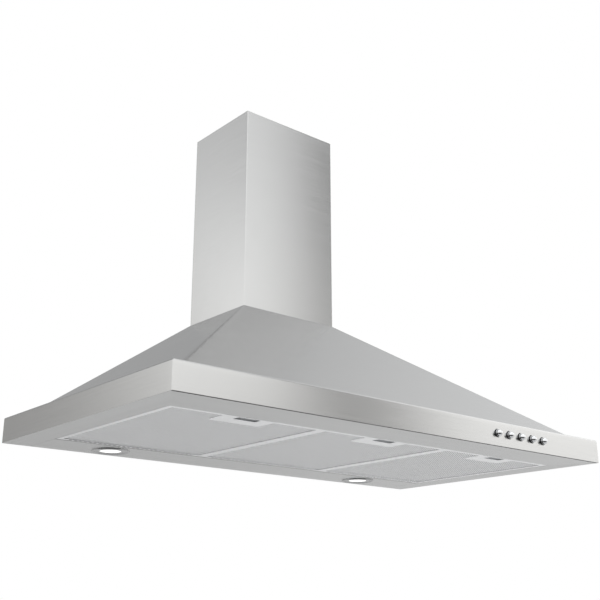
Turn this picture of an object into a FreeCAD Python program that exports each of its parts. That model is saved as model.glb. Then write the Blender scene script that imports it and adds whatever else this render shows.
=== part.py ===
import FreeCAD, Part
import math
import os
import types

import Sketcher

# Wall mounted range hood. X runs along the wall, Y points into the wall, Z is up.
# The origin is on the wall, under the middle of the hood, level with the underside.

doc = FreeCAD.newDocument("range_hood")

sizes = {
    # overall
    "hood_width": 900,
    "hood_depth": 490,
    "band_height": 40,
    "ledge_width": 22,
    "pyramid_top": 260,
    "steel": 1.0,
    "fold_radius": 1.2,
    "working_gap": 0.3,
    "overrun": 5,
    # chimney covers
    "chimney_width": 210,
    "chimney_depth": 168,
    "chimney_height": 385,
    "chimney_return": 12,
    "chimney_tab_width": 10,
    "chimney_tab_length": 52,
    "chimney_slide_gap": 0.5,
    "upper_foot_gap": 10,
    "upper_head_gap": 1.5,
    "ceiling_strap_height": 30,
    "ceiling_strap_width": 176,
    "ceiling_strap_steel": 1.5,
    "ceiling_ear_forward": 12,
    "ceiling_ear_length": 20,
    "ceiling_ear_gap": 0.2,
    "ceiling_hole_spacing": 120,
    "ceiling_hole_radius": 2.75,
    "ceiling_strap_drop": 8,
    # underside sheets
    "side_strip": 46,
    "front_strip": 76.5,
    "rear_strip": 87.5,
    "groove_width": 3,
    "groove_height": 8,
    "strip_flange": 12,
    "catch_flange": 4.2,
    "outer_flange": 25,
    # filters
    "filter_gap": 2,
    "filter_front_gap": 1.5,
    "filter_rear_gap": 2.5,
    "filter_height": 9,
    "filter_lip": 8,
    "filter_wall": 0.8,
    "filter_corner": 1.4,
    "hinge_tab_width": 30,
    "hinge_tab_spacing": 160,
    "hinge_tab_reach": 9,
    "drain_slot_length": 4,
    "drain_slot_width": 2.2,
    "drain_slot_pitch": 8,
    "drain_row_margin": 24,
    "mesh_sheet": 0.4,
    "mesh_play": 0.2,
    "mesh_lip_gap": 0.1,
    # filter latch
    "latch_plate_width": 88,
    "latch_plate_depth": 43,
    "latch_plate_steel": 1.2,
    "latch_plate_corner": 6,
    "finger_corner": 1.5,
    "latch_case_width": 43,
    "latch_case_depth": 30,
    "latch_case_wall": 1.2,
    "latch_case_setback": 2,
    "latch_roof_gap": 0.8,
    "finger_width": 39,
    "finger_depth": 15,
    "slider_depth": 9,
    "slider_play": 0.4,
    "slider_finger_gap": 7,
    "tongue_width": 18,
    "tongue_height": 1.8,
    "tongue_reach": 6.5,
    "grip_groove": 0.8,
    "leaf_steel": 0.5,
    "leaf_width": 10,
    "leaf_height": 4,
    # lamps
    "lamp_from_side": 123,
    "lamp_shift": 0.75,
    "lamp_hole_radius": 27.5,
    "lens_radius": 20,
    "lens_drop": 1.4,
    "lens_flange_radius": 24.6,
    "lens_flange_height": 1.5,
    "bezel_radius": 32,
    "bezel_drop": 2.2,
    "bezel_edge": 1,
    "bezel_chamfer": 3,
    "bezel_tube_radius": 27,
    "bezel_tube_wall": 2,
    "bezel_tube_height": 12,
    "lamp_case_radius": 34,
    "lamp_case_wall": 2,
    "lamp_case_height": 15,
    "lamp_fin_radius": 22,
    "lamp_fin_height": 2,
    "lamp_core_radius": 12,
    # push buttons and switch
    "button_from_side": 162.7,
    "button_pitch": 29.7,
    "button_level": 20.5,
    "button_radius": 6.5,
    "button_proud": 9,
    "button_dome": 5.5,
    "button_inside": 6,
    "button_hole_gap": 0.5,
    "stem_radius": 3,
    "stem_length": 25,
    "stem_gap": 0.05,
    "stem_run_out": 6,
    "switch_margin": 16,
    "switch_height": 27,
    "switch_depth": 26,
    "switch_setback": 18,
    "switch_bracket_steel": 2,
    "switch_bracket_margin": 10,
    "switch_bracket_height": 34,
    "switch_bracket_hole": 4,
    "switch_blade_steel": 0.8,
    "switch_blade_width": 6.3,
    "switch_blade_length": 7,
    "switch_blade_spacing": 10,
    # blower
    "blower_axis_setback": 152.5,
    "blower_axis_level": 128,
    "scroll_radius": 88,
    "scroll_step": 9,
    "scroll_lip": 22,
    "scroll_wall": 2,
    "scroll_half_width": 64,
    "seam_rim": 4,
    "seam_thickness": 3,
    "wall_rib": 2,
    "wall_rib_end": 84,
    "inlet_radius": 58,
    "inlet_rim": 2,
    "inlet_rim_height": 4,
    "throat_top": 256,
    "flange_height": 3,
    "flange_margin_side": 16,
    "flange_margin": 12,
    "blower_screw_side": 72,
    "blower_screw_inset": 6,
    "blower_screw_hole": 2.6,
    "gasket_wall": 2.5,
    "rubber_radius": 7,
    "impeller_radius": 78,
    "impeller_half_width": 56,
    "impeller_ring_wall": 14,
    "impeller_ring_height": 3,
    "impeller_disc_level": 6,
    "impeller_disc_height": 2.5,
    "impeller_hub_radius": 11,
    "impeller_hub_height": 16,
    "blade_height": 1.2,
    "blade_curve": 13,
    "motor_radius": 42,
    "motor_back": 66,
    "motor_front": 8,
    "motor_boss_radius": 24,
    "motor_nose_radius": 14,
    "motor_nose_height": 4,
    "motor_chamfer": 4,
    "vent_width": 4,
    "vent_start": 27,
    "vent_length": 9,
    "vent_depth": 3,
    "shaft_radius": 4,
    "shaft_back": 60,
    "shaft_front": 20,
    "shaft_gap": 0.05,
    "spider_steel": 2,
    "spider_hub_radius": 26,
    "spider_hub_bore": 9,
    "spider_arm_width": 14,
    "spider_screw_radius": 65,
    "spider_lug_radius": 6,
    "machine_screw_radius": 2,
    # duct collar and damper
    "duct_setback": 84,
    "duct_radius": 74.5,
    "duct_wall": 2,
    "duct_height": 62,
    "duct_flange_radius": 82,
    "duct_flange_height": 2,
    "duct_plate_hole": 70,
    "damper_level": 24,
    "damper_steel": 1.2,
    "damper_gap": 1,
    "damper_stop_width": 2.5,
    "damper_stop_height": 1.5,
    "damper_boss_radius": 4.5,
    "damper_boss_length": 4,
    "damper_edge": 3.8,
    "damper_half_length": 68,
    "damper_barrel_radius": 3.2,
    "damper_barrel_length": 29.5,
    "damper_barrel_pitch": 30,
    "pin_radius": 2,
    "pin_gap": 0.05,
    "collar_screw_circle": 79,
    "collar_screw_hole": 1.6,
    "collar_screw_head": 2.9,
    # cable gland
    "gland_side": 90,
    "gland_setback": 22,
    "gland_radius": 8,
    "gland_taper": 1,
    "gland_neck_radius": 6,
    "gland_bore_radius": 3.5,
    "gland_flange_height": 3,
    "gland_hole_gap": 0.2,
    # electrics
    "box_side": 130,
    "box_width": 110,
    "box_depth": 44,
    "box_bottom": 60,
    "box_height": 70,
    "box_wall": 2,
    "box_lid_lap": 6,
    "terminal_width": 60,
    "terminal_depth": 20,
    "terminal_height": 18,
    "terminal_foot": 12,
    "terminal_well_radius": 3,
    "terminal_well_depth": 8,
    "terminal_pitch": 11,
    "terminal_groove": 1,
    "terminal_groove_depth": 3,
    "capacitor_radius": 16,
    "capacitor_height": 70,
    "capacitor_rim": 2,
    "capacitor_tab_width": 6.3,
    "capacitor_tab_steel": 0.8,
    "capacitor_tab_length": 8,
    "capacitor_tab_spacing": 10,
    "driver_side": 150,
    "driver_width": 92,
    "driver_depth": 28,
    "driver_height": 36,
    "driver_foot": 9,
    # wall fixing
    "wall_hole_spacing": 240,
    "wall_hole_low": 35,
    "wall_hole_rise": 180,
    "wall_hole_radius": 4.5,
    # screws
    "screw_head_radius": 4.2,
    "screw_head_height": 2.4,
    "screw_gap": 0.2,
    "panel_screw_radius": 2,
    "panel_screw_level": 14,
    "panel_screw_inset": 44,
    "box_screw_inset": 11,
}

# counts and shares
button_names = ["button_stop", "button_low", "button_medium", "button_high", "button_light"]
filter_count = 3
blade_count = 32
arm_count = 3
terminal_count = 5
collar_screw_count = 4
groove_count = 3
vent_count = 10
rib_count = 9
barrels_per_flap = 2
inner_screw_share = 1 / 3

sheet = doc.addObject("Spreadsheet::Sheet", "sizes")


class Length:
    # A length: its number, and the expression over the sheet's cells that gives it.
    def __init__(self, value, text):
        self.value = value
        self.text = text

    def __add__(self, other):
        other = as_length(other)
        return Length(self.value + other.value, f"({self.text} + {other.text})")

    def __sub__(self, other):
        other = as_length(other)
        return Length(self.value - other.value, f"({self.text} - {other.text})")

    def __mul__(self, other):
        other = as_length(other)
        return Length(self.value * other.value, f"({self.text} * {other.text})")

    def __truediv__(self, other):
        other = as_length(other)
        return Length(self.value / other.value, f"({self.text} / {other.text})")

    def __neg__(self):
        return Length(-self.value, f"(0 - {self.text})")

    __radd__ = __add__
    __rmul__ = __mul__

    def __rsub__(self, other):
        return as_length(other) - self

    def root(self):
        return Length(math.sqrt(self.value), f"sqrt({self.text})")


def as_length(number):
    if isinstance(number, Length):
        return number
    return Length(float(number), f"({float(number)})")


row = 0
s = types.SimpleNamespace()
for alias, number in sizes.items():
    row += 1
    sheet.set(f"A{row}", alias)
    sheet.set(f"B{row}", str(number))
    sheet.setAlias(f"B{row}", alias)
    setattr(s, alias, Length(float(number), f"sizes.{alias}"))
doc.recompute()

zero = as_length(0)


def hypotenuse(run, rise):
    return (run * run + rise * rise).root()


def bind(thing, name, length):
    thing.setExpression(name, as_length(length).text)


def block(label, across, along, up):
    # A box between two values on each axis.
    box = doc.addObject("Part::Box", "block")
    box.Label = label
    for pair, side, place in (
        (across, "Length", "x"),
        (along, "Width", "y"),
        (up, "Height", "z"),
    ):
        low, high = sorted((as_length(pair[0]), as_length(pair[1])), key=lambda end: end.value)
        bind(box, side, high - low)
        bind(box, "Placement.Base." + place, low)
    return box


turns = {
    "Z": FreeCAD.Rotation(),
    "Y": FreeCAD.Rotation(FreeCAD.Vector(1, 0, 0), -90),
    "X": FreeCAD.Rotation(FreeCAD.Vector(0, 1, 0), 90),
}


def rod(label, radius, length, start, axis="Z"):
    # A cylinder from its start point along an axis.
    cylinder = doc.addObject("Part::Cylinder", "rod")
    cylinder.Label = label
    bind(cylinder, "Radius", radius)
    bind(cylinder, "Height", length)
    cylinder.Placement = FreeCAD.Placement(FreeCAD.Vector(), turns[axis])
    for place, value in zip("xyz", start):
        bind(cylinder, "Placement.Base." + place, value)
    return cylinder


def joined(label, pieces):
    fuse = doc.addObject("Part::MultiFuse", "joined")
    fuse.Label = label
    fuse.Shapes = pieces
    fuse.Refine = True
    return fuse


def together(label, pieces):
    # Separate solids kept as one group.
    group = doc.addObject("Part::Compound", "group")
    group.Label = label
    group.Links = pieces
    return group


def cut(label, base, tools):
    tool = tools[0]
    if len(tools) > 1:
        tool = together(label + " cutters", tools)
    result = doc.addObject("Part::Cut", "cut")
    result.Label = label
    result.Base = base
    result.Tool = tool
    return result


def rounded(label, base, radius, chosen):
    # Rounds each edge whose two ends both pass the test.
    doc.recompute()
    fillet = doc.addObject("Part::Fillet", "rounded")
    fillet.Label = label
    fillet.Base = base
    fillet.Edges = [
        (number, radius.value, radius.value)
        for number, edge in enumerate(base.Shape.Edges, start=1)
        if chosen(edge.firstVertex(True).Point, edge.lastVertex(True).Point)
    ]
    return fillet


def mirrored(label, source):
    other = doc.addObject("Part::Mirroring", "mirrored")
    other.Label = label
    other.Source = source
    other.Normal = FreeCAD.Vector(1, 0, 0)
    return other


def new_body(label, place=(zero, zero, zero)):
    body = doc.addObject("PartDesign::Body", "body")
    body.Label = label
    for axis, value in zip("xyz", place):
        bind(body, "Placement.Base." + axis, value)
    return body


def sketch_on(body, plane, level=zero):
    sketch = body.newObject("Sketcher::SketchObject", "outline")
    support = next(f for f in body.Origin.OriginFeatures if f.Role == plane + "_Plane")
    sketch.AttachmentSupport = [(support, "")]
    sketch.MapMode = "FlatFace"
    bind(sketch, "AttachmentOffset.Base.z", level)
    return sketch


def hold(sketch, kind, geometry, point, value):
    # Keeps one coordinate of a point, counted from the sketch's origin.
    value = as_length(value)
    index = sketch.addConstraint(Sketcher.Constraint(kind, -1, 1, geometry, point, value.value))
    sketch.setExpression(f"Constraints[{index}]", value.text)


def draw_outline(sketch, corners):
    # A closed outline. A corner is (across, up), or (across, up, centre across, centre up, radius)
    # where an anticlockwise arc runs from it to the next corner.
    count = len(corners)
    points = [FreeCAD.Vector(as_length(c[0]).value, as_length(c[1]).value, 0) for c in corners]
    lines = []
    for number, corner in enumerate(corners):
        begin = points[number]
        end = points[(number + 1) % count]
        if len(corner) == 2:
            lines.append(sketch.addGeometry(Part.LineSegment(begin, end)))
            continue
        centre = FreeCAD.Vector(as_length(corner[2]).value, as_length(corner[3]).value, 0)
        radius = as_length(corner[4])
        first = math.atan2(begin.y - centre.y, begin.x - centre.x)
        last = math.atan2(end.y - centre.y, end.x - centre.x)
        if last <= first:
            last += 2 * math.pi
        circle = Part.Circle(centre, FreeCAD.Vector(0, 0, 1), radius.value)
        index = sketch.addGeometry(Part.ArcOfCircle(circle, first, last))
        lines.append(index)
        radius_index = sketch.addConstraint(Sketcher.Constraint("Radius", index, radius.value))
        sketch.setExpression(f"Constraints[{radius_index}]", radius.text)
    for number, index in enumerate(lines):
        following = lines[(number + 1) % count]
        sketch.addConstraint(Sketcher.Constraint("Coincident", index, 2, following, 1))
        hold(sketch, "DistanceX", index, 1, corners[number][0])
        hold(sketch, "DistanceY", index, 1, corners[number][1])


def draw_box(sketch, across, up):
    draw_outline(
        sketch,
        [(across[0], up[0]), (across[1], up[0]), (across[1], up[1]), (across[0], up[1])],
    )


def draw_rounded_box(sketch, across, up, radius):
    # A rectangle whose four corners are arcs of one radius.
    left, right = across[0] + radius, across[1] - radius
    low, high = up[0] + radius, up[1] - radius
    draw_outline(
        sketch,
        [
            (left, up[0]),
            (right, up[0], right, low, radius),
            (across[1], low),
            (across[1], high, right, high, radius),
            (right, up[1]),
            (left, up[1], left, high, radius),
            (across[0], high),
            (across[0], low, left, low, radius),
        ],
    )


def draw_circle(sketch, across, up, radius):
    across, up, radius = as_length(across), as_length(up), as_length(radius)
    centre = FreeCAD.Vector(across.value, up.value, 0)
    circle = Part.Circle(centre, FreeCAD.Vector(0, 0, 1), radius.value)
    index = sketch.addGeometry(circle)
    radius_index = sketch.addConstraint(Sketcher.Constraint("Radius", index, radius.value))
    sketch.setExpression(f"Constraints[{radius_index}]", radius.text)
    hold(sketch, "DistanceX", index, 3, across)
    hold(sketch, "DistanceY", index, 3, up)


def pad(body, sketch, length, backward=False):
    feature = body.newObject("PartDesign::Pad", "pad")
    feature.Profile = sketch
    bind(feature, "Length", length)
    feature.Reversed = backward
    return feature


def pocket(body, sketch, length, backward=False):
    # Cuts against the sketch's normal, or along it where backward is set.
    feature = body.newObject("PartDesign::Pocket", "pocket")
    feature.Profile = sketch
    bind(feature, "Length", length)
    feature.Reversed = backward
    return feature


def turned(body, sketch, axis):
    feature = body.newObject("PartDesign::Revolution", "turned")
    feature.Profile = sketch
    feature.ReferenceAxis = (sketch, [axis])
    feature.Angle = 360
    return feature


def around(body, features, axis, count):
    # The axis is the role of one of the body's own axes, or a sketch whose normal is turned about.
    feature = body.newObject("PartDesign::PolarPattern", "around")
    feature.Originals = features
    if isinstance(axis, str):
        line = next(f for f in body.Origin.OriginFeatures if f.Role == axis)
        feature.Axis = (line, [""])
    else:
        feature.Axis = (axis, ["N_Axis"])
    feature.Angle = 360
    feature.Occurrences = count
    body.Tip = feature
    return feature


def in_a_row(body, features, axis_role, pitch, count):
    feature = body.newObject("PartDesign::LinearPattern", "row")
    feature.Originals = features
    axis = next(f for f in body.Origin.OriginFeatures if f.Role == axis_role)
    feature.Direction = (axis, [""])
    bind(feature, "Length", pitch * (count - 1))
    feature.Occurrences = count
    body.Tip = feature
    return feature


def screws(label, places, head_radius, shank_radius, shank_length, axis="Z", heading=1):
    # Pan heads on the given seats. The shank runs along the axis, forward where heading is 1.
    made = []
    along = "XYZ".index(axis)
    for seat in places:
        seat = [as_length(value) for value in seat]
        head_start = list(seat)
        shank_start = list(seat)
        if heading == 1:
            head_start[along] = seat[along] - s.screw_head_height
        else:
            shank_start[along] = seat[along] - shank_length
        head = rod(label + " head", head_radius, s.screw_head_height, head_start, axis)
        shank = rod(label + " shank", shank_radius, shank_length, shank_start, axis)
        made.append(joined(label + " one", [head, shank]))
    return together(label, made)


def screw_holes(label, seats):
    # Clearance holes along Y for the screws that meet the back panel.
    return [
        rod(
            label,
            s.panel_screw_radius + s.screw_gap,
            s.box_wall + s.steel + s.overrun,
            (across, along - s.overrun / 2, up),
            "Y",
        )
        for across, along, up in seats
    ]


def on_circle(centre_across, centre_up, radius, count, start_share):
    # Places spread evenly round a circle; start_share is the first one's part of a full turn.
    places = []
    for number in range(count):
        angle = 2 * math.pi * (start_share + number / count)
        places.append((centre_across + radius * math.cos(angle), centre_up + radius * math.sin(angle)))
    return places


# Places that several pieces share
half_width = s.hood_width / 2
front_face = -s.hood_depth
inner_half = half_width - s.steel
inner_front = front_face + s.steel
opening_half = half_width - s.side_strip
strip_edge = front_face + s.front_strip
panel_edge = -s.rear_strip
filter_front = strip_edge + s.filter_front_gap
filter_rear = panel_edge - s.filter_rear_gap
filter_width = (opening_half * 2 - s.filter_gap * (filter_count + 1)) / filter_count
hinge_level = s.steel + s.working_gap
base_half = half_width - s.ledge_width
base_front = front_face + s.ledge_width
top_half = s.chimney_width / 2
rise = s.pyramid_top - s.band_height
wall_side = s.steel * hypotenuse(base_half - top_half, rise) / rise
wall_front = s.steel * hypotenuse(s.hood_depth - s.ledge_width - s.chimney_depth, rise) / rise
duct_centre = -s.duct_setback
axis_back = -s.blower_axis_setback
plate_half = top_half - wall_side - s.working_gap
plate_front = -(s.chimney_depth - wall_front - s.working_gap)
throat_front = axis_back + s.scroll_lip
throat_back = axis_back + s.scroll_radius + s.scroll_step * 3
lamp_across = opening_half - s.lamp_from_side
lamp_along = panel_edge / 2 + s.lamp_shift
last_button = half_width - s.button_from_side
button_places = [last_button - s.button_pitch * number for number in reversed(range(len(button_names)))]
blower_seats = [
    (side * s.blower_screw_side, along)
    for side in (-1, 1)
    for along in (
        throat_front - s.scroll_wall - s.flange_margin + s.blower_screw_inset,
        throat_back + s.scroll_wall + s.flange_margin - s.blower_screw_inset,
    )
]
chimney_tab_middle = top_half - s.steel - s.chimney_tab_width / 2
chimney_seats = [(side * chimney_tab_middle, duct_centre) for side in (-1, 1)]
collar_seats = on_circle(zero, duct_centre, s.collar_screw_circle, collar_screw_count, 1 / 8)
spider_seats = on_circle(axis_back, s.blower_axis_level, s.spider_screw_radius, arm_count, 1 / 4)

# Screws that meet the back panel: through the light panel, the control box and the lamp driver
box_middle = s.box_side + s.box_width / 2
box_screw_level = s.box_bottom + s.box_height / 2
driver_middle = -(s.driver_side + s.driver_width / 2)
driver_screw_level = s.box_bottom + s.driver_height / 2
panel_screw_reach = opening_half - s.panel_screw_inset
panel_seats = [
    (side * panel_screw_reach * reach_share, -s.steel * 2, s.panel_screw_level)
    for side in (-1, 1)
    for reach_share in (inner_screw_share, 1)
]
box_seats = [
    (box_middle + side * (s.box_width / 2 - s.box_screw_inset), -s.steel - s.box_wall, box_screw_level)
    for side in (-1, 1)
]
driver_seats = [
    (driver_middle + side * (s.driver_width + s.driver_foot) / 2, -s.steel - s.box_wall, driver_screw_level)
    for side in (-1, 1)
]


# Canopy: band and pyramid, one folded and welded steel shell, open behind and below
def pyramid(label, side_wall, front_wall, back):
    # A wedge whose own height axis is stood up along Z, with its depth running away from the wall.
    wedge = doc.addObject("Part::Wedge", "wedge")
    wedge.Label = label
    wedge.Placement = FreeCAD.Placement(FreeCAD.Vector(), FreeCAD.Rotation(FreeCAD.Vector(1, 0, 0), 90))
    bind(wedge, "Ymin", s.band_height)
    bind(wedge, "Ymax", s.pyramid_top)
    for mark, half, front in (("", base_half, base_front), ("2", top_half, -s.chimney_depth)):
        bind(wedge, f"X{mark}min", -(half - side_wall))
        bind(wedge, f"X{mark}max", half - side_wall)
        bind(wedge, f"Z{mark}min", -back)
        bind(wedge, f"Z{mark}max", -(front + front_wall))
    return wedge


def same(place, length):
    # Places nearer to each other than the working gap are one place.
    return abs(place - as_length(length).value) < s.working_gap.value


def canopy_fold(first, last):
    # The band's two front corners, its upper edge and the pyramid's two hips are folded, not sharp.
    on_rim = [same(abs(end.x), half_width) or same(end.y, front_face) for end in (first, last)]
    at_corner = [same(abs(end.x), half_width) and same(end.y, front_face) for end in (first, last)]
    at_top = [same(end.z, s.band_height) for end in (first, last)]
    foot, head = sorted((first, last), key=lambda end: end.z)
    is_hip = (
        same(foot.y, base_front)
        and same(foot.z, s.band_height)
        and same(head.y, -s.chimney_depth)
        and same(head.z, s.pyramid_top)
        and same(abs(foot.x), base_half)
        and same(abs(head.x), top_half)
    )
    return all(at_corner) or (all(on_rim) and all(at_top)) or is_hip


def make_canopy():
    band = block("band", (-half_width, half_width), (front_face, zero), (zero, s.band_height))
    sharp = joined("sharp shell", [band, pyramid("pyramid", zero, zero, zero)])
    shell = rounded("shell", sharp, s.fold_radius, canopy_fold)
    band_room = block(
        "band room",
        (-inner_half, inner_half),
        (inner_front, s.overrun),
        (-s.overrun, s.band_height - s.steel),
    )
    neck = block(
        "ledge opening",
        (-(base_half - wall_side), base_half - wall_side),
        (base_front + wall_front, s.overrun),
        (s.band_height - s.steel - s.overrun, s.band_height),
    )
    room = pyramid("pyramid room", wall_side, wall_front, s.overrun)
    holes = [
        rod(
            "button hole",
            s.button_radius + s.button_hole_gap,
            s.steel + s.overrun * 2,
            (place, front_face - s.overrun, s.button_level),
            "Y",
        )
        for place in button_places
    ]
    return cut("canopy", shell, [band_room, neck, room] + holes)


# Back panel: flat sheet that closes the canopy against the wall and carries the wall screws
def make_back_panel():
    body = new_body("back_panel")
    low = inner_half - s.working_gap
    shoulder = s.band_height - s.steel - s.working_gap
    base = base_half - wall_side - s.working_gap
    top = top_half - wall_side - s.working_gap
    right = [(low, zero), (low, shoulder), (base, shoulder), (base, s.band_height), (top, s.pyramid_top)]
    left = [(-across, up) for across, up in reversed(right)]
    outline = sketch_on(body, "XZ")
    draw_outline(outline, right + left)
    pad(body, outline, s.steel)
    holes = sketch_on(body, "XZ")
    for side in (-1, 1):
        for up in (s.wall_hole_low, s.wall_hole_low + s.wall_hole_rise):
            draw_circle(holes, side * s.wall_hole_spacing / 2, up, s.wall_hole_radius)
    for across, _, up in panel_seats + box_seats + driver_seats:
        draw_circle(holes, across, up, s.panel_screw_radius + s.screw_gap)
    pocket(body, holes, s.steel + s.overrun, backward=True)
    return body


# Underside frame: front and side strips with their folded flanges
def make_underside_frame():
    edge = inner_front + s.groove_width
    strips = cut(
        "strips",
        block("strip sheet", (-inner_half, inner_half), (edge, -s.steel), (zero, s.steel)),
        [
            block(
                "filter opening",
                (-opening_half, opening_half),
                (strip_edge, s.overrun),
                (-s.overrun, s.overrun),
            )
        ],
    )
    pieces = [strips]
    for side in (-1, 1):
        pieces.append(
            block(
                "inner flange",
                (side * opening_half, side * (opening_half + s.steel)),
                (strip_edge, -s.steel),
                (zero, s.strip_flange),
            )
        )
        pieces.append(
            block(
                "outer flange",
                (side * (inner_half - s.steel), side * inner_half),
                (edge, -s.steel),
                (zero, s.outer_flange),
            )
        )
    pieces.append(
        block(
            "catch flange",
            (-opening_half - s.steel, opening_half + s.steel),
            (strip_edge - s.steel, strip_edge),
            (zero, s.catch_flange),
        )
    )
    pieces.append(
        block("groove wall", (-inner_half, inner_half), (edge, edge + s.steel), (zero, s.groove_height))
    )
    pieces.append(
        block(
            "groove roof",
            (-inner_half, inner_half),
            (inner_front, edge + s.steel),
            (s.groove_height - s.steel, s.groove_height),
        )
    )
    return joined("underside_frame", pieces)


# Light panel: rear strip with the two lamp holes, folded up along the wall and the sides
def make_light_panel():
    half = opening_half - s.working_gap
    sheet_piece = block("panel sheet", (-half, half), (panel_edge, -s.steel), (zero, s.steel))
    rear = block("rear flange", (-half, half), (-s.steel * 2, -s.steel), (zero, s.outer_flange))
    flanges = [
        block(
            "side flange",
            (side * (half - s.steel), side * half),
            (panel_edge, -s.steel),
            (zero, s.strip_flange),
        )
        for side in (-1, 1)
    ]
    folded = joined("folded panel", [sheet_piece, rear] + flanges)
    holes = [
        rod(
            "lamp hole",
            s.lamp_hole_radius,
            s.steel + s.overrun * 2,
            (side * lamp_across, lamp_along, -s.overrun),
        )
        for side in (-1, 1)
    ]
    return cut("light_panel", folded, holes + screw_holes("panel screw hole", panel_seats))


# Blower plate: closes the pyramid's top and carries the blower, the collar and the gland
def make_blower_plate():
    body = new_body("blower_plate")
    outline = sketch_on(body, "XY", s.pyramid_top - s.steel)
    draw_box(outline, (-plate_half, plate_half), (plate_front, -s.steel))
    pad(body, outline, s.steel)
    holes = sketch_on(body, "XY", s.pyramid_top)
    draw_circle(holes, zero, duct_centre, s.duct_plate_hole)
    draw_circle(holes, s.gland_side, -s.gland_setback, s.gland_neck_radius + s.gland_hole_gap)
    for across, along in blower_seats:
        draw_circle(holes, across, along, s.blower_screw_hole)
    for across, along in chimney_seats:
        draw_circle(holes, across, along, s.machine_screw_radius + s.screw_gap)
    for across, along in collar_seats:
        draw_circle(holes, across, along, s.collar_screw_hole + s.screw_gap)
    pocket(body, holes, s.steel + s.overrun)
    return body


# Lamps: bezel, lens and finned case on each side of the light panel
def make_lamps():
    made = []
    case_floor = s.steel + s.working_gap
    for side, name in ((-1, "left"), (1, "right")):
        place = (side * lamp_across, lamp_along, zero)
        mouth = s.lens_radius + s.working_gap
        bezel = new_body("lamp_bezel_" + name, place)
        profile = sketch_on(bezel, "XZ")
        draw_outline(
            profile,
            [
                (mouth, zero),
                (mouth, -s.bezel_edge),
                (mouth + s.bezel_edge, -s.bezel_drop),
                (s.bezel_radius - s.bezel_chamfer, -s.bezel_drop),
                (s.bezel_radius, -s.bezel_edge),
                (s.bezel_radius, zero),
                (s.bezel_tube_radius, zero),
                (s.bezel_tube_radius, s.bezel_tube_height),
                (s.bezel_tube_radius - s.bezel_tube_wall, s.bezel_tube_height),
                (s.bezel_tube_radius - s.bezel_tube_wall, zero),
            ],
        )
        turned(bezel, profile, "V_Axis")
        lens = new_body("lamp_lens_" + name, place)
        profile = sketch_on(lens, "XZ")
        draw_outline(
            profile,
            [
                (zero, -s.lens_drop),
                (s.lens_radius - s.bezel_edge, -s.lens_drop),
                (s.lens_radius, -s.lens_drop / 2),
                (s.lens_radius, zero),
                (s.lens_flange_radius, zero),
                (s.lens_flange_radius, s.lens_flange_height),
                (zero, s.lens_flange_height),
            ],
        )
        turned(lens, profile, "V_Axis")
        case = new_body("lamp_body_" + name, place)
        profile = sketch_on(case, "XZ")
        roof = s.bezel_tube_height + s.working_gap
        fin = s.lamp_case_height
        step = s.lamp_fin_height
        draw_outline(
            profile,
            [
                (zero, s.lens_flange_height),
                (s.lens_flange_radius, s.lens_flange_height),
                (s.lens_flange_radius, roof),
                (s.lamp_case_radius - s.lamp_case_wall, roof),
                (s.lamp_case_radius - s.lamp_case_wall, case_floor),
                (s.lamp_case_radius, case_floor),
                (s.lamp_case_radius, fin),
                (s.lamp_core_radius, fin),
                (s.lamp_core_radius, fin + step),
                (s.lamp_fin_radius, fin + step),
                (s.lamp_fin_radius, fin + step * 2),
                (s.lamp_core_radius, fin + step * 2),
                (s.lamp_core_radius, fin + step * 3),
                (s.lamp_fin_radius, fin + step * 3),
                (s.lamp_fin_radius, fin + step * 4),
                (zero, fin + step * 4),
            ],
        )
        turned(case, profile, "V_Axis")
        made += [bezel, lens, case]
    return made


# Push buttons: a domed cap outside the band and a stem that slides in the switch
def make_button(name, place):
    body = new_body(name, (place, zero, s.button_level))
    tip = s.hood_depth + s.button_proud
    shoulder = tip - s.button_dome
    inside = s.hood_depth - s.button_inside
    # The dome is the part of a sphere that stands as high as button_dome over the cap's edge.
    sphere = (s.button_radius * s.button_radius + s.button_dome * s.button_dome) / (s.button_dome * 2)
    profile = sketch_on(body, "XY")
    draw_outline(
        profile,
        [
            (zero, -tip, zero, -(tip - sphere), sphere),
            (s.button_radius, -shoulder),
            (s.button_radius, -inside),
            (s.stem_radius, -inside),
            (s.stem_radius, -(inside - s.stem_length)),
            (zero, -(inside - s.stem_length)),
        ],
    )
    turned(body, profile, "V_Axis")
    return body


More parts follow.
